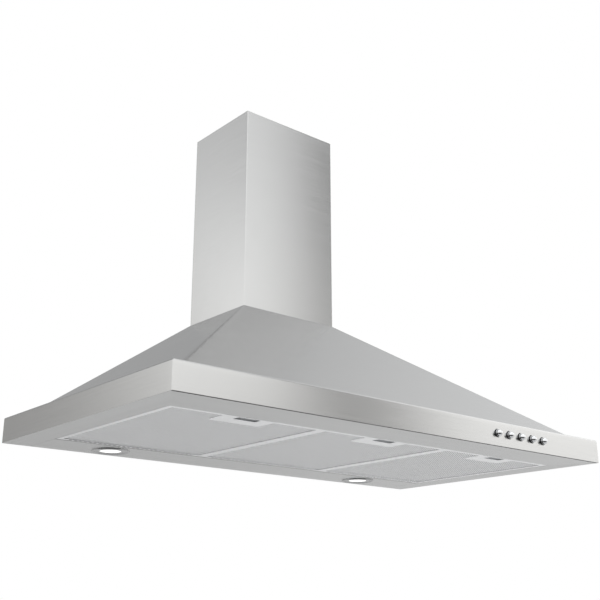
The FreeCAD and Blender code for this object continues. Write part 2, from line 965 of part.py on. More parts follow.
def make_switch():
    left = button_places[0] - s.switch_margin
    right = button_places[-1] + s.switch_margin
    front = inner_front + s.switch_setback
    low = s.button_level - s.switch_height / 2
    stem_room = s.stem_length - (s.switch_setback - (s.button_inside - s.steel)) + s.stem_run_out
    case = block(
        "switch case",
        (left, right),
        (front, front + s.switch_depth),
        (low, low + s.switch_height),
    )
    bores = [
        rod(
            "stem bore",
            s.stem_radius + s.stem_gap,
            stem_room + s.overrun,
            (place, front - s.overrun, s.button_level),
            "Y",
        )
        for place in button_places
    ]
    back = front + s.switch_depth
    blades = [
        block(
            "switch blade",
            (across - s.switch_blade_steel / 2, across + s.switch_blade_steel / 2),
            (back - s.switch_blade_steel, back + s.switch_blade_length),
            (s.button_level - s.switch_blade_width / 2, s.button_level + s.switch_blade_width / 2),
        )
        for place in button_places
        for across in (place - s.switch_blade_spacing / 2, place + s.switch_blade_spacing / 2)
    ]
    switch = cut("switch_body", joined("switch with blades", [case] + blades), bores)
    plate = block(
        "switch plate",
        (left - s.switch_bracket_margin, right + s.switch_bracket_margin),
        (front - s.switch_bracket_steel, front),
        (s.steel, s.steel + s.switch_bracket_height),
    )
    foot = block(
        "switch foot",
        (left - s.switch_bracket_margin, right + s.switch_bracket_margin),
        (front - s.switch_bracket_steel, front + s.switch_depth),
        (s.steel, s.steel + s.switch_bracket_steel),
    )
    holes = [
        rod(
            "stem hole",
            s.switch_bracket_hole,
            s.switch_bracket_steel + s.overrun * 2,
            (place, front - s.switch_bracket_steel - s.overrun, s.button_level),
            "Y",
        )
        for place in button_places
    ]
    return [switch, cut("switch_bracket", joined("switch angle", [plate, foot]), holes)]


# Blower scroll: two moulded halves that meet in the middle plane
def draw_scroll(sketch, growth):
    # Three quarter turns with centres one step apart, so that the wall runs away from the impeller.
    centre = (axis_back, s.blower_axis_level)
    step = s.scroll_step
    first = s.scroll_radius + growth
    lip = s.scroll_lip - growth
    lip_level = centre[1] + (first * first - lip * lip).root()
    draw_outline(
        sketch,
        [
            (centre[0] + lip, lip_level, centre[0], centre[1], first),
            (centre[0] - first, centre[1], centre[0] + step, centre[1], first + step),
            (
                centre[0] + step,
                centre[1] - first - step,
                centre[0] + step,
                centre[1] + step,
                first + step * 2,
            ),
            (centre[0] + step * 3 + first, centre[1] + step),
            (centre[0] + step * 3 + first, s.throat_top),
            (centre[0] + lip, s.throat_top),
        ],
    )


def make_scroll():
    body = new_body("scroll_left")
    outer = sketch_on(body, "YZ", -s.scroll_half_width)
    draw_scroll(outer, s.scroll_wall)
    pad(body, outer, s.scroll_half_width)
    seam = sketch_on(body, "YZ")
    draw_scroll(seam, s.scroll_wall + s.seam_rim)
    pad(body, seam, s.seam_thickness, backward=True)
    rim = sketch_on(body, "YZ", -s.scroll_half_width)
    draw_circle(rim, axis_back, s.blower_axis_level, s.inlet_radius + s.inlet_rim)
    pad(body, rim, s.inlet_rim_height, backward=True)
    rib = sketch_on(body, "YZ", -s.scroll_half_width)
    bind(rib, "AttachmentOffset.Base.x", axis_back)
    bind(rib, "AttachmentOffset.Base.y", s.blower_axis_level)
    draw_box(rib, (s.inlet_radius + s.inlet_rim / 2, s.wall_rib_end), (-s.wall_rib / 2, s.wall_rib / 2))
    first_rib = pad(body, rib, s.wall_rib, backward=True)
    around(body, [first_rib], rib, rib_count)
    lugs = sketch_on(body, "YZ", -s.scroll_half_width)
    for along, up in spider_seats:
        draw_circle(lugs, along, up, s.spider_lug_radius)
    pad(body, lugs, s.inlet_rim_height, backward=True)
    flange = sketch_on(body, "XY", s.throat_top - s.flange_height)
    reach = s.scroll_half_width + s.flange_margin_side
    draw_box(
        flange,
        (-reach, zero),
        (throat_front - s.scroll_wall - s.flange_margin, throat_back + s.scroll_wall + s.flange_margin),
    )
    pad(body, flange, s.flange_height)
    room = sketch_on(body, "YZ")
    draw_scroll(room, zero)
    pocket(body, room, s.scroll_half_width - s.scroll_wall)
    inlet = sketch_on(body, "YZ", -(s.scroll_half_width - s.scroll_wall))
    draw_circle(inlet, axis_back, s.blower_axis_level, s.inlet_radius)
    pocket(body, inlet, s.scroll_wall + s.inlet_rim_height + s.overrun)
    lug_holes = sketch_on(body, "YZ", -(s.scroll_half_width - s.scroll_wall))
    for along, up in spider_seats:
        draw_circle(lug_holes, along, up, s.machine_screw_radius)
    pocket(body, lug_holes, s.scroll_wall + s.inlet_rim_height + s.overrun)
    holes = sketch_on(body, "XY", s.throat_top)
    for across, along in blower_seats[:2]:
        draw_circle(holes, across, along, s.blower_screw_hole)
    pocket(body, holes, s.flange_height + s.overrun)
    return body


def make_outlet_gasket():
    body = new_body("outlet_gasket")
    ring = sketch_on(body, "XY", s.throat_top)
    half = s.scroll_half_width - s.scroll_wall
    draw_box(ring, (-half, half), (throat_front, throat_back))
    draw_box(
        ring,
        (-(half + s.gasket_wall), half + s.gasket_wall),
        (throat_front - s.gasket_wall, throat_back + s.gasket_wall),
    )
    pad(body, ring, s.pyramid_top - s.steel - s.throat_top)
    return body


def make_rubber_mounts():
    height = s.pyramid_top - s.steel - s.throat_top
    made = []
    for across, along in blower_seats:
        start = (across, along, s.throat_top)
        bore_start = (across, along, s.throat_top - s.overrun)
        made.append(
            cut(
                "one rubber mount",
                rod("rubber", s.rubber_radius, height, start),
                [rod("rubber bore", s.blower_screw_hole, height + s.overrun * 2, bore_start)],
            )
        )
    return together("rubber_mounts", made)


# Impeller: two end rings, a middle disc with its hub, and forward curved blades between
def make_impeller():
    body = new_body("impeller", (zero, axis_back, s.blower_axis_level))
    inner = s.impeller_radius - s.impeller_ring_wall
    disc = sketch_on(body, "YZ", s.impeller_disc_level)
    draw_circle(disc, zero, zero, s.impeller_radius)
    pad(body, disc, s.impeller_disc_height)
    hub = sketch_on(body, "YZ", s.impeller_disc_level)
    draw_circle(hub, zero, zero, s.impeller_hub_radius)
    pad(body, hub, s.impeller_hub_height)
    for level in (-s.impeller_half_width, s.impeller_half_width - s.impeller_ring_height):
        ring = sketch_on(body, "YZ", level)
        draw_circle(ring, zero, zero, s.impeller_radius)
        draw_circle(ring, zero, zero, inner)
        pad(body, ring, s.impeller_ring_height)
    blade = sketch_on(body, "YZ", -s.impeller_half_width)
    # The blade's two faces are arcs about one centre, from the inner edge to the outer edge.
    reach = s.impeller_ring_wall - s.blade_height
    start = inner + s.blade_height / 2
    sagitta = s.blade_curve - (s.blade_curve * s.blade_curve - reach * reach / 4).root()
    centre_across = start + reach / 2
    centre_up = s.blade_curve - sagitta
    outer_curve = s.blade_curve + s.blade_height
    outer_half = (outer_curve * outer_curve - centre_up * centre_up).root()
    draw_outline(
        blade,
        [
            (centre_across - outer_half, zero, centre_across, centre_up, outer_curve),
            (centre_across + outer_half, zero),
            (start + reach, zero),
            (centre_across, -sagitta),
            (start, zero),
        ],
    )
    pad_blade = pad(body, blade, s.impeller_half_width * 2)
    around(body, [pad_blade], "X_Axis", blade_count)
    bore = sketch_on(body, "YZ", s.impeller_disc_level + s.impeller_hub_height)
    draw_circle(bore, zero, zero, s.shaft_radius)
    body.Tip = pocket(body, bore, s.impeller_hub_height + s.overrun)
    return body


def make_motor():
    body = new_body("motor", (zero, axis_back, s.blower_axis_level))
    back = -(s.scroll_half_width + s.inlet_rim_height)
    profile = sketch_on(body, "XY")
    bore = s.shaft_radius + s.shaft_gap
    draw_outline(
        profile,
        [
            (back, bore),
            (-s.motor_front + s.motor_nose_height, bore),
            (-s.motor_front + s.motor_nose_height, s.motor_nose_radius),
            (-s.motor_front, s.motor_nose_radius),
            (-s.motor_front, s.motor_radius - s.motor_chamfer),
            (-s.motor_front - s.motor_chamfer, s.motor_radius),
            (-s.motor_back + s.motor_chamfer, s.motor_radius),
            (-s.motor_back, s.motor_radius - s.motor_chamfer),
            (-s.motor_back, s.motor_boss_radius),
            (back, s.motor_boss_radius),
        ],
    )
    turned(body, profile, "H_Axis")
    vent = sketch_on(body, "YZ", -s.motor_back)
    draw_box(vent, (s.vent_start, s.vent_start + s.vent_length), (-s.vent_width / 2, s.vent_width / 2))
    first_vent = pocket(body, vent, s.vent_depth, backward=True)
    around(body, [first_vent], "X_Axis", vent_count)
    shaft = rod(
        "motor_shaft",
        s.shaft_radius,
        s.shaft_back + s.shaft_front,
        (-s.shaft_back, axis_back, s.blower_axis_level),
        "X",
    )
    return [body, shaft]


# Motor bracket: a hub with three arms across the left inlet
def make_motor_bracket():
    body = new_body("motor_bracket", (zero, axis_back, s.blower_axis_level))
    level = -(s.scroll_half_width + s.inlet_rim_height)
    hub = sketch_on(body, "YZ", level)
    draw_circle(hub, zero, zero, s.spider_hub_radius)
    pad(body, hub, s.spider_steel, backward=True)
    arm = sketch_on(body, "YZ", level)
    half = s.spider_arm_width / 2
    end = s.spider_screw_radius
    draw_box(arm, (-half, half), (s.spider_hub_bore + s.spider_steel, end))
    first = pad(body, arm, s.spider_steel, backward=True)
    tip = sketch_on(body, "YZ", level)
    draw_circle(tip, zero, end, half)
    second = pad(body, tip, s.spider_steel, backward=True)
    hole = sketch_on(body, "YZ", level)
    draw_circle(hole, zero, end, s.machine_screw_radius + s.screw_gap)
    third = pocket(body, hole, s.spider_steel + s.overrun)
    around(body, [first, second, third], "X_Axis", arm_count)
    bore = sketch_on(body, "YZ", level)
    draw_circle(bore, zero, zero, s.spider_hub_bore)
    body.Tip = pocket(body, bore, s.spider_steel + s.overrun)
    return body


# Duct collar with its stop ring, pin bosses, pin and two damper flaps
damper_height = s.pyramid_top + s.damper_level
bore_radius = s.duct_radius - s.duct_wall


def make_duct_collar():
    body = new_body("collar turning", (zero, duct_centre, s.pyramid_top))
    stop_top = s.damper_level - s.damper_steel / 2 - s.working_gap
    profile = sketch_on(body, "XZ")
    draw_outline(
        profile,
        [
            (bore_radius, zero),
            (s.duct_flange_radius, zero),
            (s.duct_flange_radius, s.duct_flange_height),
            (s.duct_radius, s.duct_flange_height),
            (s.duct_radius, s.duct_height),
            (bore_radius, s.duct_height),
            (bore_radius, stop_top),
            (bore_radius - s.damper_stop_width, stop_top),
            (bore_radius - s.damper_stop_width, stop_top - s.damper_stop_height),
            (bore_radius, stop_top - s.damper_stop_height),
        ],
    )
    turned(body, profile, "V_Axis")
    bosses = []
    for side in (-1, 1):
        near = bore_radius + s.duct_wall / 2
        low = near if side == -1 else s.damper_boss_length - near
        bosses.append(
            rod(
                "pin boss",
                s.damper_boss_radius,
                s.damper_boss_length,
                (zero, duct_centre - low, damper_height),
                "Y",
            )
        )
    pin_half = bore_radius - s.damper_gap / 2
    tools = [
        rod(
            "pin bore",
            s.pin_radius + s.pin_gap,
            pin_half * 2,
            (zero, duct_centre - pin_half, damper_height),
            "Y",
        )
    ]
    for across, along in collar_seats:
        tools.append(
            rod(
                "collar screw hole",
                s.collar_screw_hole + s.screw_gap,
                s.duct_flange_height + s.overrun,
                (across, along, s.pyramid_top - s.overrun / 2),
            )
        )
    collar = cut("duct_collar", joined("collar with bosses", [body] + bosses), tools)
    pin = rod(
        "damper_pin",
        s.pin_radius,
        pin_half * 2 - s.working_gap * 2,
        (zero, duct_centre - pin_half + s.working_gap, damper_height),
        "Y",
    )
    return [collar, pin]


def make_flap(name, side):
    plate = new_body(name + " plate", (zero, duct_centre, damper_height - s.damper_steel / 2))
    outline = sketch_on(plate, "XY")
    half = s.damper_half_length
    radius = bore_radius - s.damper_gap
    chord = (radius * radius - half * half).root()
    if side == 1:
        corners = [
            (s.damper_edge, -half),
            (chord, -half, zero, zero, radius),
            (chord, half),
            (s.damper_edge, half),
        ]
    else:
        corners = [
            (-s.damper_edge, half),
            (-chord, half, zero, zero, radius),
            (-chord, -half),
            (-s.damper_edge, -half),
        ]
    draw_outline(outline, corners)
    pad(plate, outline, s.damper_steel)
    pieces = [plate]
    # The two flaps' barrels take turns along the pin, the right flap's first.
    first = 0 if side == 1 else 1
    for number in range(barrels_per_flap):
        turn = first + number * 2 - barrels_per_flap
        start = duct_centre + s.damper_barrel_pitch * turn
        pieces.append(
            rod("barrel", s.damper_barrel_radius, s.damper_barrel_length, (zero, start, damper_height), "Y")
        )
        pieces.append(
            block(
                "web",
                (zero, side * (s.damper_edge + s.damper_steel)),
                (start, start + s.damper_barrel_length),
                (damper_height - s.damper_steel / 2, damper_height + s.damper_steel / 2),
            )
        )
    bore = rod(
        "flap bore",
        s.pin_radius + s.pin_gap,
        s.duct_radius * 2,
        (zero, duct_centre - s.duct_radius, damper_height),
        "Y",
    )
    return cut(name, joined(name + " solid", pieces), [bore])


# Cable gland: rubber grommet in the blower plate
def make_gland():
    body = new_body("cable_gland", (s.gland_side, -s.gland_setback, s.pyramid_top))
    profile = sketch_on(body, "XZ")
    lower = -(s.steel + s.gland_flange_height)
    draw_outline(
        profile,
        [
            (s.gland_bore_radius, lower),
            (s.gland_radius - s.gland_taper, lower),
            (s.gland_radius, -s.steel),
            (s.gland_neck_radius, -s.steel),
            (s.gland_neck_radius, zero),
            (s.gland_radius, zero),
            (s.gland_radius - s.gland_taper, s.gland_flange_height),
            (s.gland_bore_radius, s.gland_flange_height),
        ],
    )
    turned(body, profile, "V_Axis")
    return body


# Chimney covers: three sided sheets, open behind, with folded returns at the wall
def three_sided(label, half, front, back, low, high):
    def front_corner(first, last):
        return all(same(abs(end.x), half) and same(end.y, front) for end in (first, last))

    sharp = block(label + " sharp", (-half, half), (front, back), (low, high))
    outer = rounded(label + " outer", sharp, s.fold_radius, front_corner)
    room = block(
        label + " room",
        (-(half - s.steel), half - s.steel),
        (front + s.steel, back - s.steel),
        (low - s.overrun, high + s.overrun),
    )
    gap = block(
        label + " rear gap",
        (-(half - s.chimney_return), half - s.chimney_return),
        (back - s.steel - s.overrun, back + s.overrun),
        (low - s.overrun, high + s.overrun),
    )
    return cut(label + " sheet", outer, [room, gap])


upper_half = top_half - s.steel - s.chimney_slide_gap
upper_front = -s.chimney_depth + s.steel + s.chimney_slide_gap
upper_back = -(s.steel + s.working_gap)
upper_low = s.pyramid_top + s.upper_foot_gap
upper_high = s.pyramid_top + s.chimney_height - s.upper_head_gap


def make_chimney_lower():
    high = s.pyramid_top + s.chimney_height
    cover = three_sided("chimney_lower", top_half, -s.chimney_depth, zero, s.pyramid_top, high)
    tabs = [
        block(
            "chimney tab",
            (side * (top_half - s.steel - s.chimney_tab_width), side * top_half),
            (duct_centre - s.chimney_tab_length / 2, duct_centre + s.chimney_tab_length / 2),
            (s.pyramid_top, s.pyramid_top + s.steel),
        )
        for side in (-1, 1)
    ]
    holes = [
        rod(
            "tab hole",
            s.machine_screw_radius + s.screw_gap,
            s.steel + s.overrun,
            (across, along, s.pyramid_top - s.overrun / 2),
        )
        for across, along in chimney_seats
    ]
    return cut("chimney_lower", joined("chimney_lower folded", [cover] + tabs), holes)


strap_top = upper_high - s.ceiling_strap_drop
strap_middle = strap_top - s.ceiling_strap_height / 2
ear_outer = upper_half - s.steel - s.ceiling_ear_gap
ear_inner = ear_outer - s.ceiling_strap_steel
ear_back = -s.ceiling_ear_forward
ear_front = ear_back - s.ceiling_ear_length
ear_hole_middle = (ear_back + ear_front) / 2


def make_chimney_upper():
    cover = three_sided("chimney_upper", upper_half, upper_front, upper_back, upper_low, upper_high)
    hole = rod(
        "ear hole",
        s.machine_screw_radius + s.screw_gap,
        upper_half * 2 + s.overrun * 2,
        (-(upper_half + s.overrun), ear_hole_middle, strap_middle),
        "X",
    )
    return cut("chimney_upper", cover, [hole])


def make_chimney_bracket():
    level = (strap_top - s.ceiling_strap_height, strap_top)
    steel = s.ceiling_strap_steel
    strap_half = s.ceiling_strap_width / 2
    pieces = [block("strap", (-strap_half, strap_half), (-steel, zero), level)]
    for side in (-1, 1):
        arm_inner = side * (strap_half - steel)
        pieces.append(block("strap arm", (arm_inner, side * strap_half), (ear_back - steel, zero), level))
        pieces.append(
            block("strap step", (arm_inner, side * ear_outer), (ear_back - steel, ear_back), level)
        )
        pieces.append(block("strap ear", (side * ear_inner, side * ear_outer), (ear_front, ear_back), level))
    holes = [
        rod(
            "ceiling hole",
            s.ceiling_hole_radius,
            steel + s.overrun * 2,
            (side * s.ceiling_hole_spacing / 2, -steel - s.overrun, strap_middle),
            "Y",
        )
        for side in (-1, 1)
    ]
    holes.append(
        rod(
            "ear screw hole",
            s.machine_screw_radius + s.screw_gap,
            ear_outer * 2 + s.overrun * 2,
            (-(ear_outer + s.overrun), ear_hole_middle, strap_middle),
            "X",
        )
    )
    return cut("chimney_bracket", joined("bracket strap", pieces), holes)


# Control box with lid and terminal block, capacitor beside it, lamp driver on the other side
def make_electrics():
    near = -s.steel
    wide = (s.box_side, s.box_side + s.box_width)
    tall = (s.box_bottom, s.box_bottom + s.box_height)
    box_front = near - s.box_depth
    wall = s.box_wall
    box = cut(
        "control_box",
        block("box solid", wide, (box_front, near), tall),
        [
            block(
                "box room",
                (wide[0] + wall, wide[1] - wall),
                (box_front - s.overrun, near - wall),
                (tall[0] + wall, tall[1] - wall),
            ),
            rod(
                "box cable hole",
                s.gland_neck_radius,
                wall + s.overrun,
                (wide[0] + s.box_width / 2, (box_front + near) / 2, tall[1] - wall - s.overrun / 2),
            ),
        ]
        + screw_holes("box screw hole", box_seats),
    )
    lid = joined(
        "control_box_lid",
        [
            block("lid sheet", wide, (box_front - wall, box_front), tall),
            cut(
                "lid rim",
                block(
                    "lid rim outer",
                    (wide[0] + wall + s.working_gap, wide[1] - wall - s.working_gap),
                    (box_front, box_front + s.box_lid_lap),
                    (tall[0] + wall + s.working_gap, tall[1] - wall - s.working_gap),
                ),
                [
                    block(
                        "lid rim room",
                        (wide[0] + wall * 2, wide[1] - wall * 2),
                        (box_front, box_front + s.box_lid_lap + s.overrun),
                        (tall[0] + wall * 2, tall[1] - wall * 2),
                    )
                ],
            ),
        ],
    )
    block_left = wide[0] + (s.box_width - s.terminal_width) / 2
    block_low = tall[0] + s.terminal_foot
    block_back = near - wall
    terminal_front = block_back - s.terminal_depth
    wells = [
        rod(
            "terminal well",
            s.terminal_well_radius,
            s.terminal_well_depth + s.overrun,
            (
                block_left + s.terminal_width / 2 + s.terminal_pitch * (number - (terminal_count - 1) / 2),
                terminal_front - s.overrun,
                block_low + s.terminal_height / 2,
            ),
            "Y",
        )
        for number in range(terminal_count)
    ]
    grooves = [
        block(
            "terminal groove",
            (middle - s.terminal_groove / 2, middle + s.terminal_groove / 2),
            (terminal_front - s.overrun, terminal_front + s.terminal_groove_depth),
            (block_low - s.overrun, block_low + s.terminal_height + s.overrun),
        )
        for middle in [
            block_left + s.terminal_width / 2 + s.terminal_pitch * (number - terminal_count / 2)
            for number in range(1, terminal_count)
        ]
    ]
    terminals = cut(
        "terminal_block",
        block(
            "terminal solid",
            (block_left, block_left + s.terminal_width),
            (terminal_front, block_back),
            (block_low, block_low + s.terminal_height),
        ),
        wells + grooves,
    )
    capacitor = new_body(
        "capacitor",
        (
            wide[1] + s.capacitor_radius + s.working_gap,
            near - s.capacitor_radius - s.working_gap,
            tall[0],
        ),
    )
    profile = sketch_on(capacitor, "XZ")
    rim = s.capacitor_rim
    draw_outline(
        profile,
        [
            (zero, zero),
            (s.capacitor_radius - rim, zero),
            (s.capacitor_radius, rim),
            (s.capacitor_radius, s.capacitor_height - rim),
            (s.capacitor_radius - rim, s.capacitor_height),
            (s.capacitor_radius - rim * 2, s.capacitor_height),
            (s.capacitor_radius - rim * 2, s.capacitor_height - rim),
            (zero, s.capacitor_height - rim),
        ],
    )
    turned(capacitor, profile, "V_Axis")
    tabs = sketch_on(capacitor, "XY", s.capacitor_height - rim)
    for side in (-1, 1):
        across = side * s.capacitor_tab_spacing / 2
        draw_box(
            tabs,
            (across - s.capacitor_tab_steel / 2, across + s.capacitor_tab_steel / 2),
            (-s.capacitor_tab_width / 2, s.capacitor_tab_width / 2),
        )
    pad(capacitor, tabs, s.capacitor_tab_length)
    driver = joined(
        "driver solid",
        [
            block(
                "driver case",
                (-s.driver_side, -(s.driver_side + s.driver_width)),
                (near - s.driver_depth, near),
                (s.box_bottom, s.box_bottom + s.driver_height),
            ),
            block(
                "driver feet",
                (-(s.driver_side - s.driver_foot), -(s.driver_side + s.driver_width + s.driver_foot)),
                (near - s.box_wall, near),
                (s.box_bottom, s.box_bottom + s.driver_height),
            ),
        ],
    )
    driver = cut("lamp_driver", driver, screw_holes("driver screw hole", driver_seats))
    return [box, lid, terminals, capacitor, driver]


# Filters: a channel frame with hinge tabs, three mesh sheets, and a spring latch at the front
slider_front = filter_front + s.filter_wall + s.latch_case_setback + s.latch_case_wall + s.slider_finger_gap
case_front = filter_front + s.filter_wall + s.latch_case_setback
case_back = case_front + s.latch_case_depth
latch_top = s.filter_height - s.latch_roof_gap
slider_low = s.latch_plate_steel + s.working_gap
slider_high = latch_top - s.latch_case_wall - s.working_gap
tongue_low = s.catch_flange + s.working_gap
tongue_slot = (tongue_low - s.working_gap, tongue_low + s.tongue_height + s.working_gap)
latch_back = filter_front + s.filter_wall + s.latch_plate_depth


def make_filter_frame(name, middle):
    body = new_body(name, (middle, zero, zero))
    half = filter_width / 2
    outer = ((-half, half), (filter_front, filter_rear))
    lip = s.filter_lip
    wall = s.filter_wall
    window = ((-(half - lip), half - lip), (filter_front + lip, filter_rear - lip))
    web = ((-(half - wall), half - wall), (filter_front + wall, filter_rear - wall))
    for level, hole, height in (
        (zero, window, wall),
        (zero, web, s.filter_height),
        (s.filter_height - wall, window, wall),
    ):
        ring = sketch_on(body, "XY", level)
        draw_rounded_box(ring, *outer, s.filter_corner)
        draw_rounded_box(ring, *hole, s.filter_corner - wall)
        pad(body, ring, height)
    tabs = sketch_on(body, "XY", hinge_level)
    for side in (-1, 1):
        centre = side * s.hinge_tab_spacing / 2
        draw_box(
            tabs,
            (centre - s.hinge_tab_width / 2, centre + s.hinge_tab_width / 2),
            (filter_rear - wall, filter_rear + s.hinge_tab_reach),
        )
    pad(body, tabs, s.steel)
    notch = sketch_on(body, "XY", wall)
    notch_half = s.latch_plate_width / 2 + s.working_gap
    draw_box(notch, (-notch_half, notch_half), (filter_front + wall, filter_front + lip + s.overrun))
    pocket(body, notch, wall + s.overrun)
    slot = sketch_on(body, "XZ", -(filter_front + wall))
    slot_half = s.tongue_width / 2 + s.working_gap
    draw_box(slot, (-slot_half, slot_half), tongue_slot)
    pocket(body, slot, wall + s.overrun, backward=True)
    drain = sketch_on(body, "XY", wall)
    drain_start = -half + s.drain_row_margin
    drain_middle = filter_rear - lip / 2
    draw_box(
        drain,
        (drain_start, drain_start + s.drain_slot_length),
        (drain_middle - s.drain_slot_width / 2, drain_middle + s.drain_slot_width / 2),
    )
    first = pocket(body, drain, wall + s.overrun)
    run = filter_width - s.drain_row_margin * 2 - s.drain_slot_length
    count = int(run.value // s.drain_slot_pitch.value) + 1
    in_a_row(body, [first], "X_Axis", s.drain_slot_pitch, count)
    return body


def make_filter_mesh(name, middle):
    edge = s.filter_wall + s.mesh_play
    half = filter_width / 2 - edge
    low = s.filter_wall + s.mesh_lip_gap
    top = s.filter_height - low - s.mesh_sheet
    sheets = [
        block(
            "mesh sheet",
            (middle - half, middle + half),
            (filter_front + edge, filter_rear - edge),
            (level, level + s.mesh_sheet),
        )
        for level in (low, (low + top) / 2, top)
    ]
    clear_half = s.latch_plate_width / 2 + s.working_gap
    room = block(
        "latch room",
        (middle - clear_half, middle + clear_half),
        (filter_front, latch_back + s.working_gap),
        (-s.overrun, s.filter_height + s.overrun),
    )
    return cut(name, together(name + " sheets", sheets), [room])


def make_latch_plate(name, middle):
    body = new_body(name, (middle, zero, zero))
    half = s.latch_plate_width / 2
    finger = s.finger_width / 2
    case_half = s.latch_case_width / 2
    case_wall = s.latch_case_wall
    mouth = (case_front + case_wall, case_front + case_wall + s.finger_depth)
    plate = sketch_on(body, "XY")
    left, right = -half + s.latch_plate_corner, half - s.latch_plate_corner
    low = latch_back - s.latch_plate_corner
    draw_outline(
        plate,
        [
            (-half, filter_front + s.filter_wall),
            (half, filter_front + s.filter_wall),
            (half, low, right, low, s.latch_plate_corner),
            (right, latch_back),
            (left, latch_back, left, low, s.latch_plate_corner),
            (-half, low),
        ],
    )
    draw_rounded_box(plate, (-finger, finger), mouth, s.finger_corner)
    pad(body, plate, s.latch_plate_steel)
    walls = sketch_on(body, "XY")
    draw_box(walls, (-case_half, case_half), (case_front, case_back))
    draw_box(
        walls,
        (-(case_half - case_wall), case_half - case_wall),
        (case_front + case_wall, case_back - case_wall),
    )
    pad(body, walls, latch_top)
    roof = sketch_on(body, "XY", latch_top - case_wall)
    draw_box(roof, (-case_half, case_half), (case_front, case_back))
    pad(body, roof, case_wall)
    slot = sketch_on(body, "XZ", -(case_front + case_wall))
    slot_half = s.tongue_width / 2 + s.working_gap
    draw_box(slot, (-slot_half, slot_half), tongue_slot)
    pocket(body, slot, case_wall + s.overrun, backward=True)
    return body


def make_latch_slider(name, middle):
    half = s.latch_case_width / 2 - s.latch_case_wall - s.slider_play
    body = block(
        name + " block",
        (middle - half, middle + half),
        (slider_front, slider_front + s.slider_depth),
        (slider_low, slider_high),
    )
    tongue = block(
        name + " tongue",
        (middle - s.tongue_width / 2, middle + s.tongue_width / 2),
        (filter_front - s.tongue_reach, slider_front + s.slider_depth / 2),
        (tongue_low, tongue_low + s.tongue_height),
    )
    grooves = [
        block(
            name + " grip groove",
            (middle - half - s.overrun, middle + half + s.overrun),
            (slider_front + s.grip_groove * 2 * number, slider_front + s.grip_groove * (2 * number + 1)),
            (slider_low - s.overrun, slider_low + s.grip_groove / 2),
        )
        for number in range(1, groove_count + 1)
    ]
    return cut(name, joined(name + " solid", [body, tongue]), grooves)


def make_latch_spring(name, middle):
    # A bowed strip between the slider and the case's rear wall.
    body = new_body(name, (middle, zero, zero))
    front = slider_front + s.slider_depth + s.working_gap
    back = case_back - s.latch_case_wall - s.working_gap
    level = (slider_low + slider_high) / 2 - s.leaf_height / 2
    bow = sketch_on(body, "XY", level)
    leaf = s.leaf_steel
    width = s.leaf_width
    draw_outline(
        bow,
        [
            (-width, back - leaf),
            (-leaf, front),
            (leaf, front),
            (width, back - leaf),
            (width, back),
            (width - leaf, back),
            (zero, front + leaf * 2),
            (-width + leaf, back),
            (-width, back),
        ],
    )
    pad(body, bow, s.leaf_height)
    return body


parts = [make_canopy(), make_back_panel(), make_underside_frame(), make_light_panel(), make_blower_plate()]
parts += make_lamps()
for button_name, button_place in zip(button_names, button_places):
    parts.append(make_button(button_name, button_place))
parts += make_switch()
scroll_left = make_scroll()
parts += [scroll_left, mirrored("scroll_right", scroll_left), make_outlet_gasket(), make_rubber_mounts()]
parts += [make_impeller()] + make_motor() + [make_motor_bracket()]
parts += make_duct_collar()
parts += [make_flap("damper_flap_left", -1), make_flap("damper_flap_right", 1), make_gland()]
parts += [make_chimney_lower(), make_chimney_upper(), make_chimney_bracket()]
parts += make_electrics()
for number in range(filter_count):
    middle = (filter_width + s.filter_gap) * (number - (filter_count - 1) / 2)
    tag = f"_{number + 1}"
    parts.append(make_filter_frame("filter_frame" + tag, middle))
    parts.append(make_filter_mesh("filter_mesh" + tag, middle))
    parts.append(make_latch_plate("latch_plate" + tag, middle))
    parts.append(make_latch_slider("latch_slider" + tag, middle))
    parts.append(make_latch_spring("latch_spring" + tag, middle))

# Screws
plate_gap = s.pyramid_top - s.steel - s.throat_top
parts.append(
    screws(
        "blower_screws",
        [(across, along, s.pyramid_top) for across, along in blower_seats],
        s.screw_head_radius,
        s.blower_screw_hole - s.screw_gap,
        s.steel + plate_gap + s.flange_height + s.screw_head_height,
        heading=-1,
    )
)
parts.append(
    screws(
        "collar_screws",
        [(across, along, s.pyramid_top + s.duct_flange_height) for across, along in collar_seats],
        s.collar_screw_head,
        s.collar_screw_hole,
        s.duct_flange_height + s.steel + s.screw_head_height,
        heading=-1,
    )
)
parts.append(
    screws(
        "chimney_lower_screws",
        [(across, along, s.pyramid_top + s.steel) for across, along in chimney_seats],
        s.screw_head_radius,
        s.machine_screw_radius,
        s.steel * 2 + s.screw_head_height,
        heading=-1,
    )
)
bracket_face = -(s.scroll_half_width + s.inlet_rim_height + s.spider_steel)
parts.append(
    screws(
        "motor_screws",
        [(bracket_face, along, up) for along, up in spider_seats],
        s.screw_head_radius,
        s.machine_screw_radius - s.screw_gap,
        s.spider_steel + s.inlet_rim_height,
        axis="X",
        heading=1,
    )
)
panel_groups = [
    (panel_seats, s.steel * 2),
    (box_seats + driver_seats, s.steel + s.box_wall),
]
panel_screws = []
for seats, grip in panel_groups:
    panel_screws.append(
        screws(
            "panel screw",
            seats,
            s.screw_head_radius,
            s.panel_screw_radius,
            grip,
            axis="Y",
            heading=1,
        )
    )
parts.append(together("panel_screws", panel_screws))
ear_screws = []
for side in (-1, 1):
    seat = [(side * ear_inner, ear_hole_middle, strap_middle)]
    ear_screws.append(
        screws(
            "ear screw",
            seat,
            s.screw_head_radius,
            s.machine_screw_radius,
            upper_half - ear_inner,
            axis="X",
            heading=side,
        )
    )
parts.append(together("chimney_upper_screws", ear_screws))

doc.recompute()

